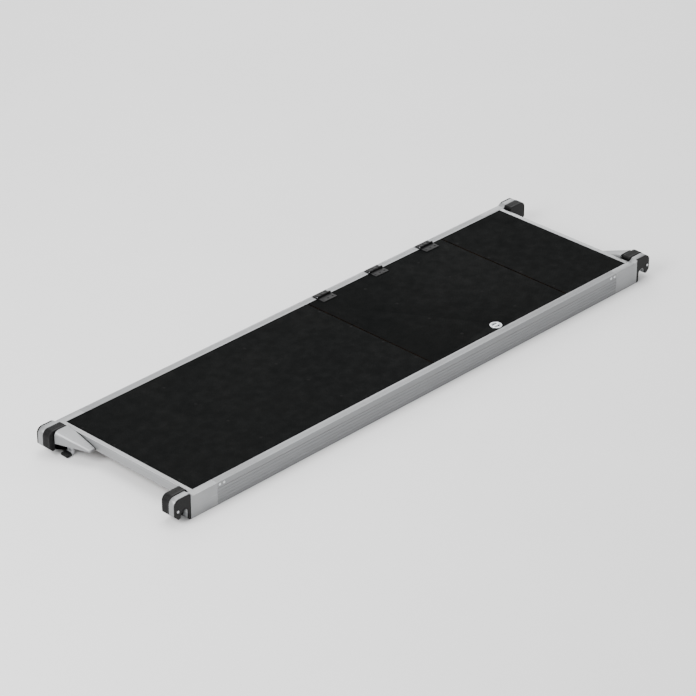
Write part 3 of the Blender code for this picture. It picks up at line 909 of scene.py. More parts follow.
@dataclass(frozen=True)
class Moulded(Finish):
    """Black nylon with a spark-eroded skin, paler where it is rubbed."""

    grain: float = 1800.0
    dust_shade: Triple = (0.045, 0.042, 0.040)

    def surface(self, w: Wiring, place: Socket) -> Surface:
        """A fine skin, paler at scuffs, edges, scratches and rungs.

        Args:
            w: the material's wiring.
            place: its object coordinates.

        Returns:
            The surface.
        """
        skin = w.noise(place, self.grain, 2.0, 0.5)
        handled = w.effect(SCUFFS, place, Scale=30.0, Amount=0.8)
        rubbed = w.most(handled, w.effect(EDGES, place, Amount=0.6),
                        w.effect(SCRATCHES, place, Amount=0.7), w.effect(RUBBING, place, Amount=1.0))
        dusty = w.times(w.effect(DUST, place, Amount=0.4), 0.30)
        colour = w.blended(dusty, w.blended(rubbed, self.colour, self.worn), self.dust_shade)
        rough = w.plus(w.span(skin, 0.3, 0.7, *self.roughness), w.times(handled, 0.12))
        return Surface(colour, rough, skin, 0.30, 0.0003)


@dataclass(frozen=True)
class Plated(Finish):
    """Plated, painted or bare steel: cloudy colour, fine turning marks and rubbed edges."""

    cloud: float = 60.0
    marks: float = 0.15
    edge_gain: float = 1.3

    def surface(self, w: Wiring, place: Socket) -> Surface:
        """Clouds of the two colours, and a brighter one at the edges.

        Args:
            w: the material's wiring.
            place: its object coordinates.

        Returns:
            The surface.
        """
        tint = w.span(w.noise(place, self.cloud, 5.0, 0.6), 0.32, 0.70)
        fine = w.noise(w.stretched(place, (1.0, 1.0, 2.5)), 900.0, 3.0, 0.6)
        colour = w.blended(w.times(tint, 0.7), self.colour, self.worn)
        colour = w.blended(w.effect(EDGES, place, Amount=0.5), colour,
                           tuple(min(1.0, self.edge_gain * part) for part in self.colour))
        rough = w.span(fine, 0.3, 0.7, *self.roughness)
        rough = w.plus(rough, w.times(w.effect(SCUFFS, place, Scale=40.0, Amount=0.8), 0.10))
        return Surface(colour, rough, fine, self.marks, 0.00008)


class Finishes:
    """Every material of the plank, each built once, with the record's slot that it belongs to."""

    def __init__(self) -> None:
        """Builds the materials."""
        cast = ((0.31, 0.315, 0.32), (0.275, 0.28, 0.285), (0.42, 0.56), 1.0)
        plan = {
            "rail": (Extruded("rail_aluminium", (0.235, 0.24, 0.245), (0.19, 0.195, 0.20),
                              (0.30, 0.46), 1.0), "extruded_aluminium"),
            "beam": (Extruded("beam_aluminium", (0.36, 0.365, 0.37), (0.30, 0.305, 0.31),
                              (0.32, 0.48), 1.0, run=Run.ACROSS), "extruded_aluminium"),
            "cast": (Cast("cast_aluminium_skin", *cast), "cast_aluminium"),
            "shell": (Cast("thin_cast_aluminium", *cast, edge_wear=0.0), "cast_aluminium"),
            "weld": (Cast("weld_bead", (0.46, 0.465, 0.47), (0.34, 0.34, 0.35), (0.30, 0.50), 1.0,
                          grain=2400.0), "cast_aluminium"),
            "ply": (FilmPly("black_film_plywood", (0.0024, 0.0028, 0.0028), (0.0068, 0.0068, 0.0065),
                            (0.58, 0.76), 0.0, gloss=0.02), "film_faced_ply"),
            "plastic": (Moulded("black_nylon", (0.0045, 0.0045, 0.0047), (0.020, 0.020, 0.020),
                                (0.42, 0.58), 0.0, gloss=0.14), "black_plastic"),
            "zinc": (Plated("zinc_plate", (0.62, 0.63, 0.64), (0.50, 0.51, 0.54), (0.32, 0.44), 1.0),
                     "zinc_steel"),
            "paint": (Plated("black_powder_coat", (0.0050, 0.0050, 0.0052), (0.0095, 0.0095, 0.0098),
                             (0.42, 0.56), 0.0, gloss=0.12, cloud=120.0, marks=0.35),
                      "black_painted_steel"),
            "cap": (Moulded("black_screw_cap", (0.0026, 0.0029, 0.0029), (0.0060, 0.0060, 0.0060),
                            (0.54, 0.68), 0.0, gloss=0.03, grain=2600.0), "black_painted_steel"),
            "spring": (Plated("oiled_spring_steel", (0.30, 0.30, 0.31), (0.20, 0.20, 0.21),
                              (0.26, 0.40), 1.0, cloud=300.0), "spring_steel")}
        self.made = {name: (finish.build(), slot) for name, (finish, slot) in plan.items()}

    def of(self, name: str) -> tuple[bpy.types.Material, str]:
        """A finish and the record's slot that it belongs to."""
        return self.made[name]


# ---------------------------------------------------------------- the plank

@dataclass
class SideRails:
    """The two grooved extrusions down the sides, and the rivets that hold their castings."""

    finishes: Finishes
    wall: float = 0.0035
    flange: float = 0.032
    lip: float = 0.026
    ledge: float = 0.010
    ledge_top: float = 0.0622
    ledge_thickness: float = 0.0025
    grooves: tuple[float, ...] = (0.012, 0.02275, 0.0335, 0.04425, 0.055)
    groove_half: float = 0.0020
    groove_depth: float = 0.0012
    serrations: tuple[float, ...] = (0.007, 0.011, 0.015, 0.019)
    serration_half: float = 0.0009
    serration_depth: float = 0.0005
    corner: float = 0.0008
    rivet_backs: Pair = (0.010, 0.027)
    rivet_z: float = 0.0660
    rivet_radius: float = 0.0042
    rivet_height: float = 0.0014
    rivet_sunk: float = 0.0001

    def section(self, side: float, height: float) -> np.ndarray:
        """The cross-section as (y, z), rounded at every corner.

        Args:
            side: the rail's outer face, in y.
            height: the rail's height.

        Returns:
            The outline, points by 2.
        """
        under = self.ledge_top - self.ledge_thickness
        corners = [(0.0, 0.0), (self.flange, 0.0), (self.flange, self.wall), (self.wall, self.wall),
                   (self.wall, under), (self.lip + self.ledge, under),
                   (self.lip + self.ledge, self.ledge_top), (self.lip, self.ledge_top),
                   (self.lip, height)]
        for middle in reversed(self.serrations):
            corners += [(middle + self.serration_half, height), (middle, height - self.serration_depth),
                        (middle - self.serration_half, height)]
        corners.append((0.0, height))
        for middle in reversed(self.grooves):
            corners += [(0.0, middle + self.groove_half),
                        (self.groove_depth, middle + 0.6 * self.groove_half),
                        (self.groove_depth, middle - 0.6 * self.groove_half),
                        (0.0, middle - self.groove_half)]
        flat = filleted(corners, self.corner, 3)
        flat[:, 0] = abs(side) - flat[:, 0]
        return flat

    def build(self) -> None:
        """Builds both rails and their rivets."""
        for name, sign in (("left", 1), ("right", -1)):
            low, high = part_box("rail_" + name)
            levels = np.linspace(low.x, high.x, 13)
            shell = grid_shell(laid(self.section(high.y if sign > 0 else low.y, high.z), Axis.X, levels))
            piece("grooved_rail_" + name, shell.mirrored((1, sign)), *self.finishes.of("rail"),
                  nodes=["rail_" + name], smooth_angle=50.0)
        self.rivets()

    def rivets(self) -> None:
        """Two blind rivets at each corner, on the flat above the top groove."""
        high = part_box("rail_left")[1]
        for corner in Corner:
            heads = [dome(Axis.Y, (high.x - back, self.rivet_z), high.y - self.rivet_sunk,
                          self.rivet_radius, self.rivet_height) for back in self.rivet_backs]
            piece("rail_rivets_" + corner.word, Shell.joined(heads).mirrored(corner.value),
                  *self.finishes.of("zinc"))


@dataclass
class Beams:
    """The end beams and the cross beams, with their weld beads."""

    finishes: Finishes
    wall: float = 0.003
    lip: float = 0.016
    flange: float = 0.030
    ledge: float = 0.033
    ledge_top: float = 0.0622
    ledge_thickness: float = 0.0025
    serrations: Pair = (0.0055, 0.0105)
    serration: float = 0.0005
    corner: float = 0.0009
    rounding: float = 0.0012
    bead: float = 0.0019
    ripple: float = 0.0035
    step: float = 0.0009
    taper: float = 0.003
    bead_top: float = 0.057
    beam_sunk: float = 0.0006
    end_sunk: float = 0.0003
    end_bead: Triple = (0.004, 0.0005, 0.028)
    crossing: tuple[str, ...] = ("cross_beam_1", "cross_beam_2", "hatch_trimmer_near",
                                 "hatch_trimmer_far")

    def end_section(self, face: float, bottom: float, top: float) -> np.ndarray:
        """An end beam's cross-section as (x, z), at the far end.

        Args:
            face: the outer face, in x.
            bottom: the lowest z.
            top: the highest z.

        Returns:
            The outline, points by 2.
        """
        under = self.ledge_top - self.ledge_thickness
        corners = [(face - self.flange, bottom), (face, bottom), (face, top)]
        for middle in self.serrations:
            corners += [(face - middle + self.serration, top), (face - middle, top - self.serration),
                        (face - middle - self.serration, top)]
        corners += [(face - self.lip, top), (face - self.lip, self.ledge_top),
                    (face - self.ledge, self.ledge_top), (face - self.ledge, under),
                    (face - self.wall, under), (face - self.wall, bottom + self.wall),
                    (face - self.flange, bottom + self.wall)]
        return filleted(corners, self.corner, 3)

    def build(self) -> None:
        """Builds every beam and bead."""
        for name, sign in (("near", -1), ("far", 1)):
            low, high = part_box("end_beam_" + name)
            face = high.x if sign > 0 else -low.x
            levels = np.linspace(low.y, high.y, 7)
            shell = grid_shell(laid(self.end_section(face, low.z, high.z), Axis.Y, levels))
            piece("capping_beam_" + name, shell.mirrored((sign, 1)), *self.finishes.of("beam"),
                  nodes=["end_beam_" + name], smooth_angle=50.0)
        for node in self.crossing:
            eased(node, self.rounding, *self.finishes.of("beam"))
        self.welds()

    def run(self, path: Sequence[Triple], across: Triple) -> Shell:
        """A weld bead along straight runs, its radius rippled by a sine of the length.

        Args:
            path: the corners of its way.
            across: a direction that the way doesn't take.

        Returns:
            The closed shell.
        """
        corners = np.array(path)
        length = np.concatenate([[0], np.cumsum(np.linalg.norm(np.diff(corners, axis=0), axis=1))])
        at = np.linspace(0, length[-1], max(8, int(length[-1] / self.step)))
        line = np.stack([np.interp(at, length, corners[:, k]) for k in range(3)], axis=1)
        radius = self.bead * (0.88 + 0.14 * np.abs(np.sin(np.pi * at / self.ripple)))
        ends = np.minimum(1.0, np.minimum(at, length[-1] - at) / self.taper + 0.35)
        return tube(line, radius * ends, across, 8)

    def welds(self) -> None:
        """Beads round each cross beam's end, and up the outer corners of the end beams."""
        beads = []
        for node in self.crossing:
            low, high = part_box(node)
            for side in (low.y, high.y):
                y = side - math.copysign(self.beam_sunk, side)
                beads.append(self.run([(low.x, y, self.bead_top), (low.x, y, low.z),
                                       (high.x, y, low.z), (high.x, y, self.bead_top)], (0, 1, 0)))
        below_top, above, inwards = self.end_bead
        for name, sign in (("near", -1), ("far", 1)):
            low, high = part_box("end_beam_" + name)
            x = high.x if sign > 0 else low.x
            for side in (low.y, high.y):
                y = side - math.copysign(self.end_sunk, side)
                beads.append(self.run([(x, y, high.z - below_top), (x, y, low.z + above),
                                       (x - sign * inwards, y, low.z + above)], (0, 1, 0)))
        piece("weld_beads", Shell.joined(beads), *self.finishes.of("weld"), smooth_angle=60.0)


@dataclass
class Claws:
    """The four hooks: a casting, a black block inside it, a black cover outside it and a bolt."""

    finishes: Finishes
    rung_x: float = 1.025
    rung_z: float = 0.028
    throat: float = 0.0155
    lip_z: float = 0.019
    nose: float = 0.020
    block_edge: float = 0.0022
    cover_edge: float = 0.0012
    rib_depth: float = 0.0007
    rib_half: float = 0.0011
    rib_places: tuple[float, ...] = (0.28, 0.42, 0.56, 0.70)
    rounding: float = 0.0012
    soft: float = 0.003
    chamfer: float = 0.004
    throat_drop: Pair = (0.006, 0.004)
    lip_step: Triple = (0.003, 0.010, 0.012)
    bolt_radii: tuple[float, ...] = (0.0042, 0.0039, 0.0034, 0.0021, 0.0019, 0.0018)
    washer: float = 0.0006
    bolt_sunk: float = 0.0004

    def outline(self, start: float, end: float, top: float) -> np.ndarray:
        """A hook's side view as (x, z): round the throat, up the nose and back along the top.

        Args:
            start: the inboard end, in x.
            end: the outer end, in x.
            top: the highest z.

        Returns:
            The outline, points by 2.
        """
        inner, outer = self.rung_x - self.throat, self.rung_x + self.throat
        rung = (self.rung_x, self.rung_z)
        cut, (inner_drop, outer_drop), (small, wide, rise) = self.chamfer, self.throat_drop, self.lip_step
        corners = [(start, 0.0), (inner - cut, 0.0), (inner, cut), (inner, self.rung_z - inner_drop)]
        throat = arc(rung, self.throat, 180, 0, 28)
        low = [(outer, self.rung_z - outer_drop), (outer, self.lip_z + small),
               (outer + small, self.lip_z), (outer + wide, self.lip_z), (end, self.lip_z + rise),
               (end, top - self.nose)]
        nose = arc((end - self.nose, top - self.nose), self.nose, 8, 90, 14)
        back = [(start + cut, top), (start, top - cut)]
        # A corner's curve has five points. The end ones join the throat, the lip and the nose.
        before, after = filleted(corners, self.soft)[:-5], filleted(low, self.soft)[5:-5]
        return np.concatenate([before, [corners[-1]], throat, [low[0]], after, [low[-1]], nose,
                               filleted([nose[-1], *back, (start, 0.02)], 0.002, 3)[4:-4]])

    def build(self) -> None:
        """Builds the four claws."""
        for corner in Corner:
            word = corner.word
            eased("claw_casting_" + word, self.rounding, *self.finishes.of("cast"))
            low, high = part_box("claw_cover_inner_far_left")
            ribs = [(low.y + share * (high.y - low.y), self.rib_half, self.rib_depth)
                    for share in self.rib_places]
            block = plate(self.outline(low.x, high.x, high.z), Axis.Y, low.y, high.y,
                          self.block_edge, ribs, 5)
            piece("claw_block_" + word, block.mirrored(corner.value), *self.finishes.of("plastic"),
                  nodes=["claw_cover_inner_" + word])
            low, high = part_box("claw_cover_outer_far_left")
            cover = plate(self.outline(low.x, high.x, high.z), Axis.Y, low.y, high.y, self.cover_edge)
            piece("claw_cheek_" + word, cover.mirrored(corner.value), *self.finishes.of("plastic"),
                  nodes=["claw_cover_outer_" + word])
            self.bolt(corner)

    def bolt(self, corner: Corner) -> None:
        """A low pan head with a round socket, and its washer.

        Args:
            corner: which claw.
        """
        low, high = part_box("claw_bolt_far_left")
        centre = ((low.x + high.x) / 2, (low.z + high.z) / 2)
        base, top = low.y - self.bolt_sunk, high.y
        brim, shoulder, crown, socket, lip, bottom = self.bolt_radii
        head = turned([(brim, base), (brim, base + self.washer), (shoulder, top - 0.0003), (crown, top),
                       (socket, top), (lip, top - 0.0002), (bottom, base + self.washer),
                       (0.0, base + 0.0005)], Axis.Y, centre, 28)
        piece("claw_bolt_head_" + corner.word, head.mirrored(corner.value), *self.finishes.of("zinc"),
              nodes=["claw_bolt_" + corner.word])


@dataclass
class Deck:
    """The two fixed panels and their black-capped screws."""

    finishes: Finishes
    corner: float = 0.0015
    edge: float = 0.0005
    columns: tuple[float, ...] = (-0.21, -0.07, 0.07, 0.21)
    screw_radius: float = 0.0052
    screw_height: float = 0.0007
    screw_sunk: float = 0.0002
    end_row: float = 0.0245
    trimmer_row: float = 0.0115

    def rows(self) -> dict[str, list[float]]:
        """The x of each row of screws, over the beams that they go into.

        Returns:
            The rows of each panel, by its name.
        """
        reach = {node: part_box(node) for node in Beams.crossing}
        middle = {node: (low.x + high.x) / 2 for node, (low, high) in reach.items()}
        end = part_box("end_beam_far")[1].x - self.end_row
        return {"near": [-end, middle["cross_beam_1"], middle["cross_beam_2"],
                         middle["hatch_trimmer_near"] - self.trimmer_row],
                "far": [middle["hatch_trimmer_far"] + self.trimmer_row, end]}

    def screws(self, places: Sequence[Pair], top: float) -> Shell:
        """Low black heads on the deck's surface."""
        return Shell.joined([dome(Axis.Z, place, top - self.screw_sunk, self.screw_radius,
                                  self.screw_height, segments=16) for place in places])

    def build(self) -> None:
        """Builds both panels and their screws."""
        for name, rows in self.rows().items():
            low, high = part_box("deck_panel_" + name)
            outline = filleted([(low.x, low.y), (high.x, low.y), (high.x, high.y), (low.x, high.y)],
                               self.corner, 3)
            panel = plate(outline, Axis.Z, low.z, high.z, self.edge, steps=3)
            piece("ply_panel_" + name, panel, *self.finishes.of("ply"), nodes=["deck_panel_" + name])
            places = [(x, y) for x in rows for y in self.columns]
            piece("deck_screws_" + name, self.screws(places, high.z), *self.finishes.of("cap"))


@dataclass
class Hatch:
    """The lid, its stiffeners and hinges, and the turning latch."""

    finishes: Finishes
    hinges: tuple[int, ...] = (1, 2, 3)
    leaf: float = 0.0020
    rivet_radius: float = 0.0036
    rivet_height: float = 0.0012
    rivet_places: Triple = (-0.021, 0.0, 0.021)
    lid_rivets: float = 0.012
    frame_rivets: float = 0.009
    pin_chamfer: float = 0.0005
    lid_rounding: float = 0.0005
    stiffener_rounding: float = 0.0006
    leaf_rounding: float = 0.0004
    latch_roundings: Triple = (0.0005, 0.0008, 0.0003)
    cup_bore: float = 0.0153
    cup_wall: float = 0.0162

    def build(self) -> None:
        """Builds the lid and everything on it."""
        eased("hatch_lid", self.lid_rounding, *self.finishes.of("ply"), "hatch", 2)
        for number in (1, 2):
            eased(f"hatch_stiffener_{number}", self.stiffener_rounding, *self.finishes.of("beam"), "hatch")
        self.lid_screws()
        for number in self.hinges:
            self.hinge(number)
        self.bezel()
        self.latch()

    def lid_screws(self) -> None:
        """Black-capped screws through the lid into the stiffeners."""
        deck = Deck(self.finishes)
        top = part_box("hatch_lid")[1].z
        rows = [(low.x + high.x) / 2 for low, high in (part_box(f"hatch_stiffener_{n}") for n in (1, 2))]
        places = [(x, y) for x in rows for y in deck.columns]
        piece("lid_screws", deck.screws(places, top), *self.finishes.of("cap"), "hatch")

    def hinge(self, number: int) -> None:
        """One hinge: two leaves, four rivets and a staked pin.

        Args:
            number: which one.
        """
        eased(f"hinge_leaf_frame_{number}", self.leaf_rounding, *self.finishes.of("paint"))
        eased(f"hinge_leaf_lid_{number}", self.leaf_rounding, *self.finishes.of("paint"), "hatch")
        low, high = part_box(f"hinge_leaf_lid_{number}")
        middle = (low.x + high.x) / 2
        piece(f"hinge_rivets_lid_{number}", self.rivets(middle, low.y + self.lid_rivets, low.z),
              *self.finishes.of("paint"), "hatch")
        low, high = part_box(f"hinge_leaf_frame_{number}")
        piece(f"hinge_rivets_frame_{number}", self.rivets(middle, high.y - self.frame_rivets, low.z),
              *self.finishes.of("paint"))
        low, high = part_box(f"hinge_pin_{number}")
        radius = (high.z - low.z) / 2
        end = radius * 0.7
        pin = turned([(end, low.x), (radius, low.x + self.pin_chamfer), (radius, high.x - self.pin_chamfer),
                      (end, high.x)], Axis.X, ((low.y + high.y) / 2, (low.z + high.z) / 2), 20)
        piece(f"staked_pin_{number}", pin, *self.finishes.of("zinc"), nodes=[f"hinge_pin_{number}"])

    def rivets(self, middle: float, y: float, floor: float) -> Shell:
        """A row of rivet heads on one leaf, whose underside lies at the floor's height."""
        return Shell.joined([dome(Axis.Z, (middle + x, y), floor + self.leaf, self.rivet_radius,
                                  self.rivet_height, segments=18) for x in self.rivet_places])

    def bezel(self) -> None:
        """The latch's flanged cup, as a closed ring profile turned about Z."""
        low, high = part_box("latch_bezel")
        centre = ((low.x + high.x) / 2, (low.y + high.y) / 2)
        rim, seat = (high.x - low.x) / 2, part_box("hatch_lid")[1].z + 0.0001
        bore, wall = self.cup_bore, self.cup_wall
        profile = [(bore, low.z), (wall, low.z), (wall, seat), (rim - 0.0002, seat),
                   (rim, seat + 0.0004), (rim - 0.0003, high.z - 0.0004), (rim - 0.0012, high.z),
                   (bore + 0.0012, high.z), (bore + 0.0003, high.z - 0.0004), (bore, high.z - 0.0010)]
        piece("latch_cup", turned(profile, Axis.Z, centre, 48, True), *self.finishes.of("zinc"), "hatch",
              ["latch_bezel"])

    def latch(self) -> None:
        """The knob, its cam and the screw below."""
        knob, cam, screw = self.latch_roundings
        eased("latch_knob", knob, *self.finishes.of("zinc"), "latch")
        eased("latch_cam", cam, *self.finishes.of("zinc"), "latch")
        eased("latch_screw", screw, *self.finishes.of("zinc"), "latch", 2)


@dataclass
class WindLocks:
    """The two sprung catches that hold the plank down on its rungs."""

    finishes: Finishes
    start: float = 0.2397
    end: float = 0.125
    wall: float = 0.004
    edge: float = 0.0015
    sunk: float = 0.001
    back: float = 0.9853
    floor: float = 0.0455
    slot_top: float = 0.064
    pivot: Pair = (1.0, 0.056)
    rib: Pair = (0.1965, 0.2003)
    solid: float = 0.018
    tail_reach: float = 0.003
    arm_rounding: float = 0.0009
    front: Pair = (1.008, 0.038)
    roof: Pair = (0.052, 0.035)
    front_curve: Pair = (0.005, 0.013)
    back_curve: Pair = (0.003, 0.006)
    pin_radii: tuple[float, ...] = (0.0022, 0.0030, 0.0045, 0.0038)
    hexagon: float = 0.0050
    washer_radii: Pair = (0.0056, 0.0030)
    washer: float = 0.0007
    legs: Pair = (0.0085, 0.0090)
    leg_start: float = 0.0010
    boss_bore: float = 0.0036
    boss_radius: float = 0.0066
    coil: float = 0.0047
    coil_ends: Pair = (0.2014, 0.2068)
    wire: float = 0.0006
    turns: float = 3.5
    boot_ribs: tuple[float, ...] = (0.25, 0.40, 0.60, 0.75)
    boot_edge: float = 0.0016

    def section(self, y: np.ndarray, shrink: float, floor: float, back_floor: float) -> np.ndarray:
        """The housing's side view (x, z) at places along the rung.

        The front and the roof both fall off evenly from the claw end to the thin end. The roof's
        two shoulders are quarter curves, C + (1 - t)^2 and t^2 of the way to each side.

        Args:
            y: the places.
            shrink: a wall's thickness to stay inside the skin.
            floor: height of the open underside.
            back_floor: height of the back's lower edge.

        Returns:
            Places by points by 2.
        """
        share = ((y - self.end) / (self.start - self.end))[:, None]
        front, roof, curve, rear = [thin + gain * share for thin, gain in (
            self.front, self.roof, self.front_curve, self.back_curve)]
        front, roof, back = front - shrink, roof - shrink, self.back + shrink
        t = np.linspace(0, 1, 9)[None]
        x = [back + 0 * share, front + 0 * share, front - curve * t ** 2, back + rear * (1 - t) ** 2]
        z = [back_floor + 0 * share, floor + 0 * share,
             np.maximum(roof - curve * (1 - t) ** 2, floor + 0.001), roof - rear * t ** 2]
        return np.stack([np.concatenate(x, axis=1), np.concatenate(z, axis=1)], axis=2)

    def skin(self, low: float, high: float, stations: int, back_floor: float) -> Shell:
        """A stretch of hollow housing: outer and inner section joined along the open underside.

        Args:
            low: where it starts, in y.
            high: where it ends.
            stations: how many sections it has.
            back_floor: height of the back's lower edge.

        Returns:
            The closed shell.
        """
        y = np.linspace(low, high, stations)
        outer = self.section(y, 0.0, self.floor, back_floor)
        inner = self.section(y, self.wall, self.floor, back_floor)
        # The loop runs up the outer front, over the roof and down the back, then returns inside.
        loop = np.concatenate([outer[:, 1:], outer[:, :1], inner[:, :1], inner[:, :0:-1]], axis=1)
        return grid_shell(laid(loop, Axis.Y, y))

    def web(self, low: float, high: float, edge: float = 0.0) -> Shell:
        """A solid wall across the housing.

        Args:
            low: the y of its inner face.
            high: the y of its outer face.
            edge: radius of its rim where it closes the casting's end, or none inside.

        Returns:
            The closed shell.
        """
        angle = np.linspace(0, np.pi / 2, 5)
        inside = np.array([[low, self.sunk], [high - edge - (1e-4 if edge else 0.0), self.sunk]])
        rim = np.stack([high - edge * (1 - np.sin(angle)), edge * (1 - np.cos(angle))], axis=1)
        y, inward = (np.concatenate([inside, rim]) if edge else inside).T
        lift = np.where(np.arange(len(y)) < len(inside), self.sunk / 2, 0.0)
        rings = [self.section(np.array([place]), shrink, self.floor + raised, self.floor + raised)[0]
                 for place, shrink, raised in zip(y, inward, lift)]
        return grid_shell(laid(np.stack(rings), Axis.Y, y))

    def housing(self) -> Shell:
        """The casting: hollow skin, end walls, the rib that carries the pin, and its bosses.

        Returns:
            The shells as one.
        """
        solid_end = self.end + self.solid
        bore, rim = self.boss_bore, self.boss_radius
        cheek = self.start - self.wall - self.sunk
        parts = [self.skin(solid_end, self.rib[1], 16, self.floor),
                 self.skin(self.rib[1], cheek, 8, self.slot_top),
                 self.skin(cheek, self.start - self.edge, 3, self.floor),
                 self.web(self.start - self.wall, self.start, self.edge),
                 self.web(*self.rib), self.tail(solid_end)]
        for low, high in ((self.start - self.wall - 0.0012, self.start - self.wall + 0.001),
                          (self.rib[0] - 0.0012, self.rib[1] + 0.0006)):
            parts.append(turned([(bore, low), (rim - 0.0004, low), (rim, low + 0.0004), (rim, high),
                                 (bore, high)], Axis.Y, self.pivot, 28, True))
        return Shell.joined(parts)

    def tail(self, solid_end: float) -> Shell:
        """The thin solid end, rounded off: its section shrinks as 1 - sin over the last stretch.

        Args:
            solid_end: where the hollow skin starts, in y.

        Returns:
            The closed shell.
        """
        angle = np.linspace(0, np.pi / 2, 7)
        reach = self.tail_reach
        y = np.concatenate([self.end + reach * (1 - np.sin(angle))[::-1],
                            np.linspace(self.end + reach, solid_end, 5)[1:]])
        shrink = np.concatenate([reach * 0.6 * (1 - np.cos(angle))[::-1], np.zeros(4)])
        rings = [self.section(np.array([place]), inward, self.floor, self.floor)[0]
                 for place, inward in zip(y, shrink)]
        return grid_shell(laid(np.stack(rings), Axis.Y, y))

    def tip(self) -> Shell:
        """The black boot on the toe: a round-nosed plate with grip ribs round it.

        Returns:
            The closed shell.
        """
        low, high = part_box("wind_lock_tip_far")
        nose = (high.z - low.z) / 2
        middle = (low.z + high.z) / 2
        corners = filleted([(low.x, high.z), (low.x, low.z + 0.002), (low.x + 0.002, low.z)], 0.0015, 3)
        outline = np.concatenate([corners[2:], arc((high.x - nose, middle), nose, -86, 86, 16)])
        wide, narrow = -low.y, -high.y
        ribs = [(narrow + share * (wide - narrow), 0.0010, 0.0005) for share in self.boot_ribs]
        return plate(outline, Axis.Y, narrow, wide, self.boot_edge, ribs)

    def pin(self) -> Shell:
        """The pivot pin with its flat chamfered head.

        Returns:
            The closed shell.
        """
        low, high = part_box("wind_lock_pin_far")
        inner, outer = -high.y, -low.y
        tip, shank, head, crown = self.pin_radii
        return turned([(tip, inner), (shank, inner + 0.0008), (shank, outer - 0.0020),
                       (head, outer - 0.0020), (head, outer - 0.0007), (crown, outer)],
                      Axis.Y, self.pivot, 28)

    def bolt(self, node: str) -> Shell:
        """A hexagon head on a washer, at the far end: its corners are cut by a rounded top.

        Args:
            node: the bolt at the far end that it stands for.

        Returns:
            Both shells as one.
        """
        low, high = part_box(node)
        centre = (-(low.y + high.y) / 2, (low.z + high.z) / 2)
        seat = low.x - 0.0003
        hexagon = arc(centre, self.hexagon, 0, 300, 5)
        head = plate(filleted(hexagon, 0.0003, 2), Axis.X, seat + self.washer, high.x, 0.0005, steps=3)
        rim, bore = self.washer_radii
        washer = turned([(rim, seat), (rim, seat + self.washer), (bore, seat + self.washer + 0.0001)],
                        Axis.X, centre, 28)
        return Shell.joined([head, washer])

    def spring(self) -> Shell:
        """The torsion spring: a leg up the back, a helix about the pin, and a leg beside the arm.

        Turn u of the helix stands at pivot + coil (cos, sin) of pi + tau u, moving along the pin.

        Returns:
            The closed shell.
        """
        x, z = self.pivot
        first, last = self.coil_ends
        u = np.linspace(0, self.turns, int(self.turns * 26) + 1)
        angle = np.pi + 2 * np.pi * u
        coil = np.stack([x + self.coil * np.cos(angle), first + (last - first) * u / self.turns,
                         z + self.coil * np.sin(angle)], axis=1)
        start = [[x - self.coil, first, z + h] for h in np.linspace(self.legs[0], self.leg_start, 7)]
        end = [[x + self.coil, last, z + h] for h in np.linspace(self.leg_start, self.legs[1], 7)]
        return tube(np.concatenate([start, coil, end]), self.wire, (0.0, 1.0, 0.0), 10)

    def build(self) -> None:
        """Builds both wind locks."""
        shells = {"wind_lock_housing": (self.housing(), "shell"), "wind_lock_pin": (self.pin(), "zinc"),
                  "wind_lock_spring": (self.spring(), "spring")}
        for name, signs in (("near", (-1, 1)), ("far", (1, -1))):
            body = "wind_lock_" + name
            for node, (shell, finish) in shells.items():
                piece(f"{node}_shape_{name}", shell.mirrored(signs), *self.finishes.of(finish),
                      nodes=[f"{node}_{name}"], smooth_angle=38.0)
            piece("toe_boot_" + name, self.tip().mirrored(signs), *self.finishes.of("plastic"), body,
                  ["wind_lock_tip_" + name])
            eased("wind_lock_arm_" + name, self.arm_rounding, *self.finishes.of("zinc"), body)
            for number in (1, 2):
                bolt = self.bolt(f"wind_lock_bolt_far_{number}").mirrored(signs)
                piece(f"lock_bolt_{name}_{number}", bolt, *self.finishes.of("zinc"),
                      nodes=[f"wind_lock_bolt_{name}_{number}"])


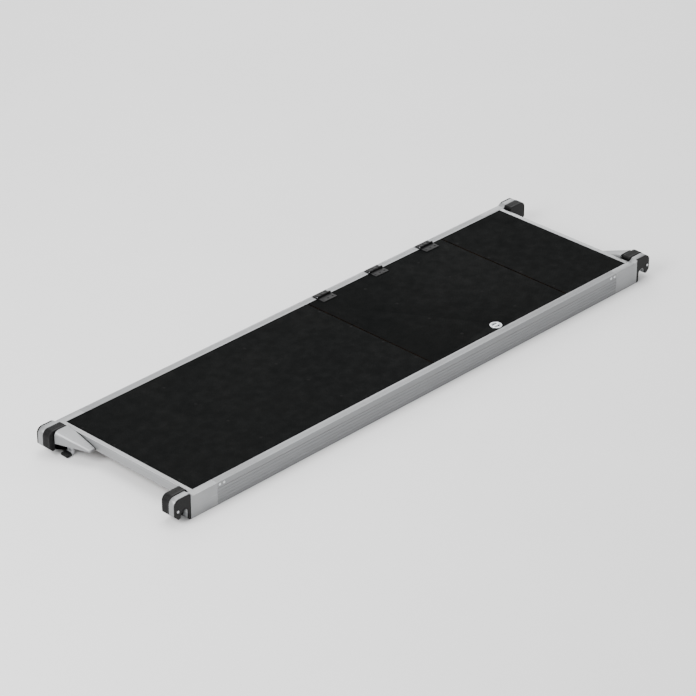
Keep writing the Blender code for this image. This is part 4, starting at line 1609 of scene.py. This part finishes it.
@dataclass
class Studio:
    """The pale floor, the soft lights and the camera."""

    camera_place: Triple = (-6.175, -5.951, 4.875)
    lights: tuple[tuple[str, Triple, float, float], ...] = (
        ("key_softbox", (-4.6, 0.4, 3.6), 2.6, 330.0), ("top_softbox", (0.4, 0.6, 5.2), 3.4, 170.0),
        ("back_softbox", (3.6, 3.8, 3.0), 3.0, 120.0), ("low_softbox", (0.0, 0.0, -2.6), 3.0, 60.0))
    target: Triple = (-0.045, 0.0, 0.060)
    lens: float = 163.0
    floor_grey: float = 0.86
    floor_half: float = 30.0
    floor_drop: float = 0.0005
    sky: float = 0.95
    ground: float = 0.45

    def build(self) -> None:
        """Builds the stage."""
        self.floor()
        for light in self.lights:
            self.light(*light)
        self.air()
        self.camera()

    def air(self) -> None:
        """A white sky, weaker below the horizon."""
        world = bpy.data.worlds.new("studio_air")
        world.use_nodes = True
        w = Wiring(world.node_tree)
        height = w.level(w.add("ShaderNodeTexCoord").outputs["Generated"], "Z")
        strength = w.span(height, -0.05, 0.05, self.ground, self.sky)
        seen = w.add("ShaderNodeLightPath").outputs["Is Camera Ray"]
        w.fill(world.node_tree.nodes["Background"],
               {"Color": (1.0, 1.0, 1.0, 1.0), "Strength": w.most(strength, w.times(seen, self.sky))})
        bpy.context.scene.world = world

    def floor(self) -> None:
        """A wide pale floor just under the rails, seen only from above.

        It lets the light of the lower half of the sky reach the underside.
        """
        corners = [(-1, -1), (1, -1), (1, 1), (-1, 1)]
        mesh = bpy.data.meshes.new("floor")
        mesh.from_pydata([(x * self.floor_half, y * self.floor_half, -self.floor_drop)
                          for x, y in corners], [], [(0, 1, 2, 3)])
        floor = shown("floor", mesh)
        material = bpy.data.materials.new("pale_floor")
        material.use_nodes = True
        w = Wiring(material.node_tree)
        place = w.add("ShaderNodeTexCoord").outputs["Object"]
        shade = w.span(w.noise(place, 2.0, 4.0), 0.3, 0.7, self.floor_grey - 0.01,
                       self.floor_grey + 0.01)
        shader = material.node_tree.nodes["Principled BSDF"]
        grey = w.add("ShaderNodeCombineColor", {0: shade, 1: shade, 2: shade}).outputs[0]
        w.fill(shader, {"Base Color": grey, "Roughness": 0.9, "Specular IOR Level": 0.1})
        under = w.most(w.add("ShaderNodeNewGeometry").outputs["Backfacing"],
                       w.add("ShaderNodeLightPath").outputs["Is Shadow Ray"])
        clear = w.add("ShaderNodeBsdfTransparent").outputs[0]
        both = w.add("ShaderNodeMixShader", {0: under, 1: shader.outputs[0], 2: clear}).outputs[0]
        w.fill(material.node_tree.nodes["Material Output"], {"Surface": both})
        mesh.materials.append(material)

    def light(self, name: str, place: Triple, size: float, power: float) -> None:
        """A square soft light aimed at the plank.

        Args:
            name: its name.
            place: where it stands.
            size: its side in metres.
            power: its power in watts.
        """
        data = bpy.data.lights.new(name, "AREA")
        data.size = size
        data.energy = power
        self.aim(shown(name, data), place)

    def camera(self) -> None:
        """The camera, aimed at the plank's middle."""
        data = bpy.data.cameras.new("camera")
        data.lens = self.lens
        data.clip_end = 100.0
        camera = shown("camera", data)
        self.aim(camera, self.camera_place)
        bpy.context.scene.camera = camera

    def aim(self, obj: bpy.types.Object, place: Triple) -> None:
        """Puts a light or the camera at a place, turned to the plank's middle.

        Args:
            obj: the light or camera.
            place: where it stands.
        """
        obj.location = place
        obj.rotation_euler = (Vector(self.target) - Vector(place)).to_track_quat("-Z", "Y").to_euler()


def main() -> None:
    """Builds the plank's looks and its stage."""
    logging.basicConfig(level=logging.INFO, format="%(name)s: %(message)s")
    for obj in list(bpy.data.objects):
        bpy.data.objects.remove(obj, do_unlink=True)
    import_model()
    finishes = Finishes()
    Studio().build()
    for part in (SideRails(finishes), Beams(finishes), Claws(finishes), Deck(finishes), Hatch(finishes),
                 WindLocks(finishes)):
        part.build()
        log.info("%s is done", type(part).__name__)


if __name__ == "__main__":
    main()
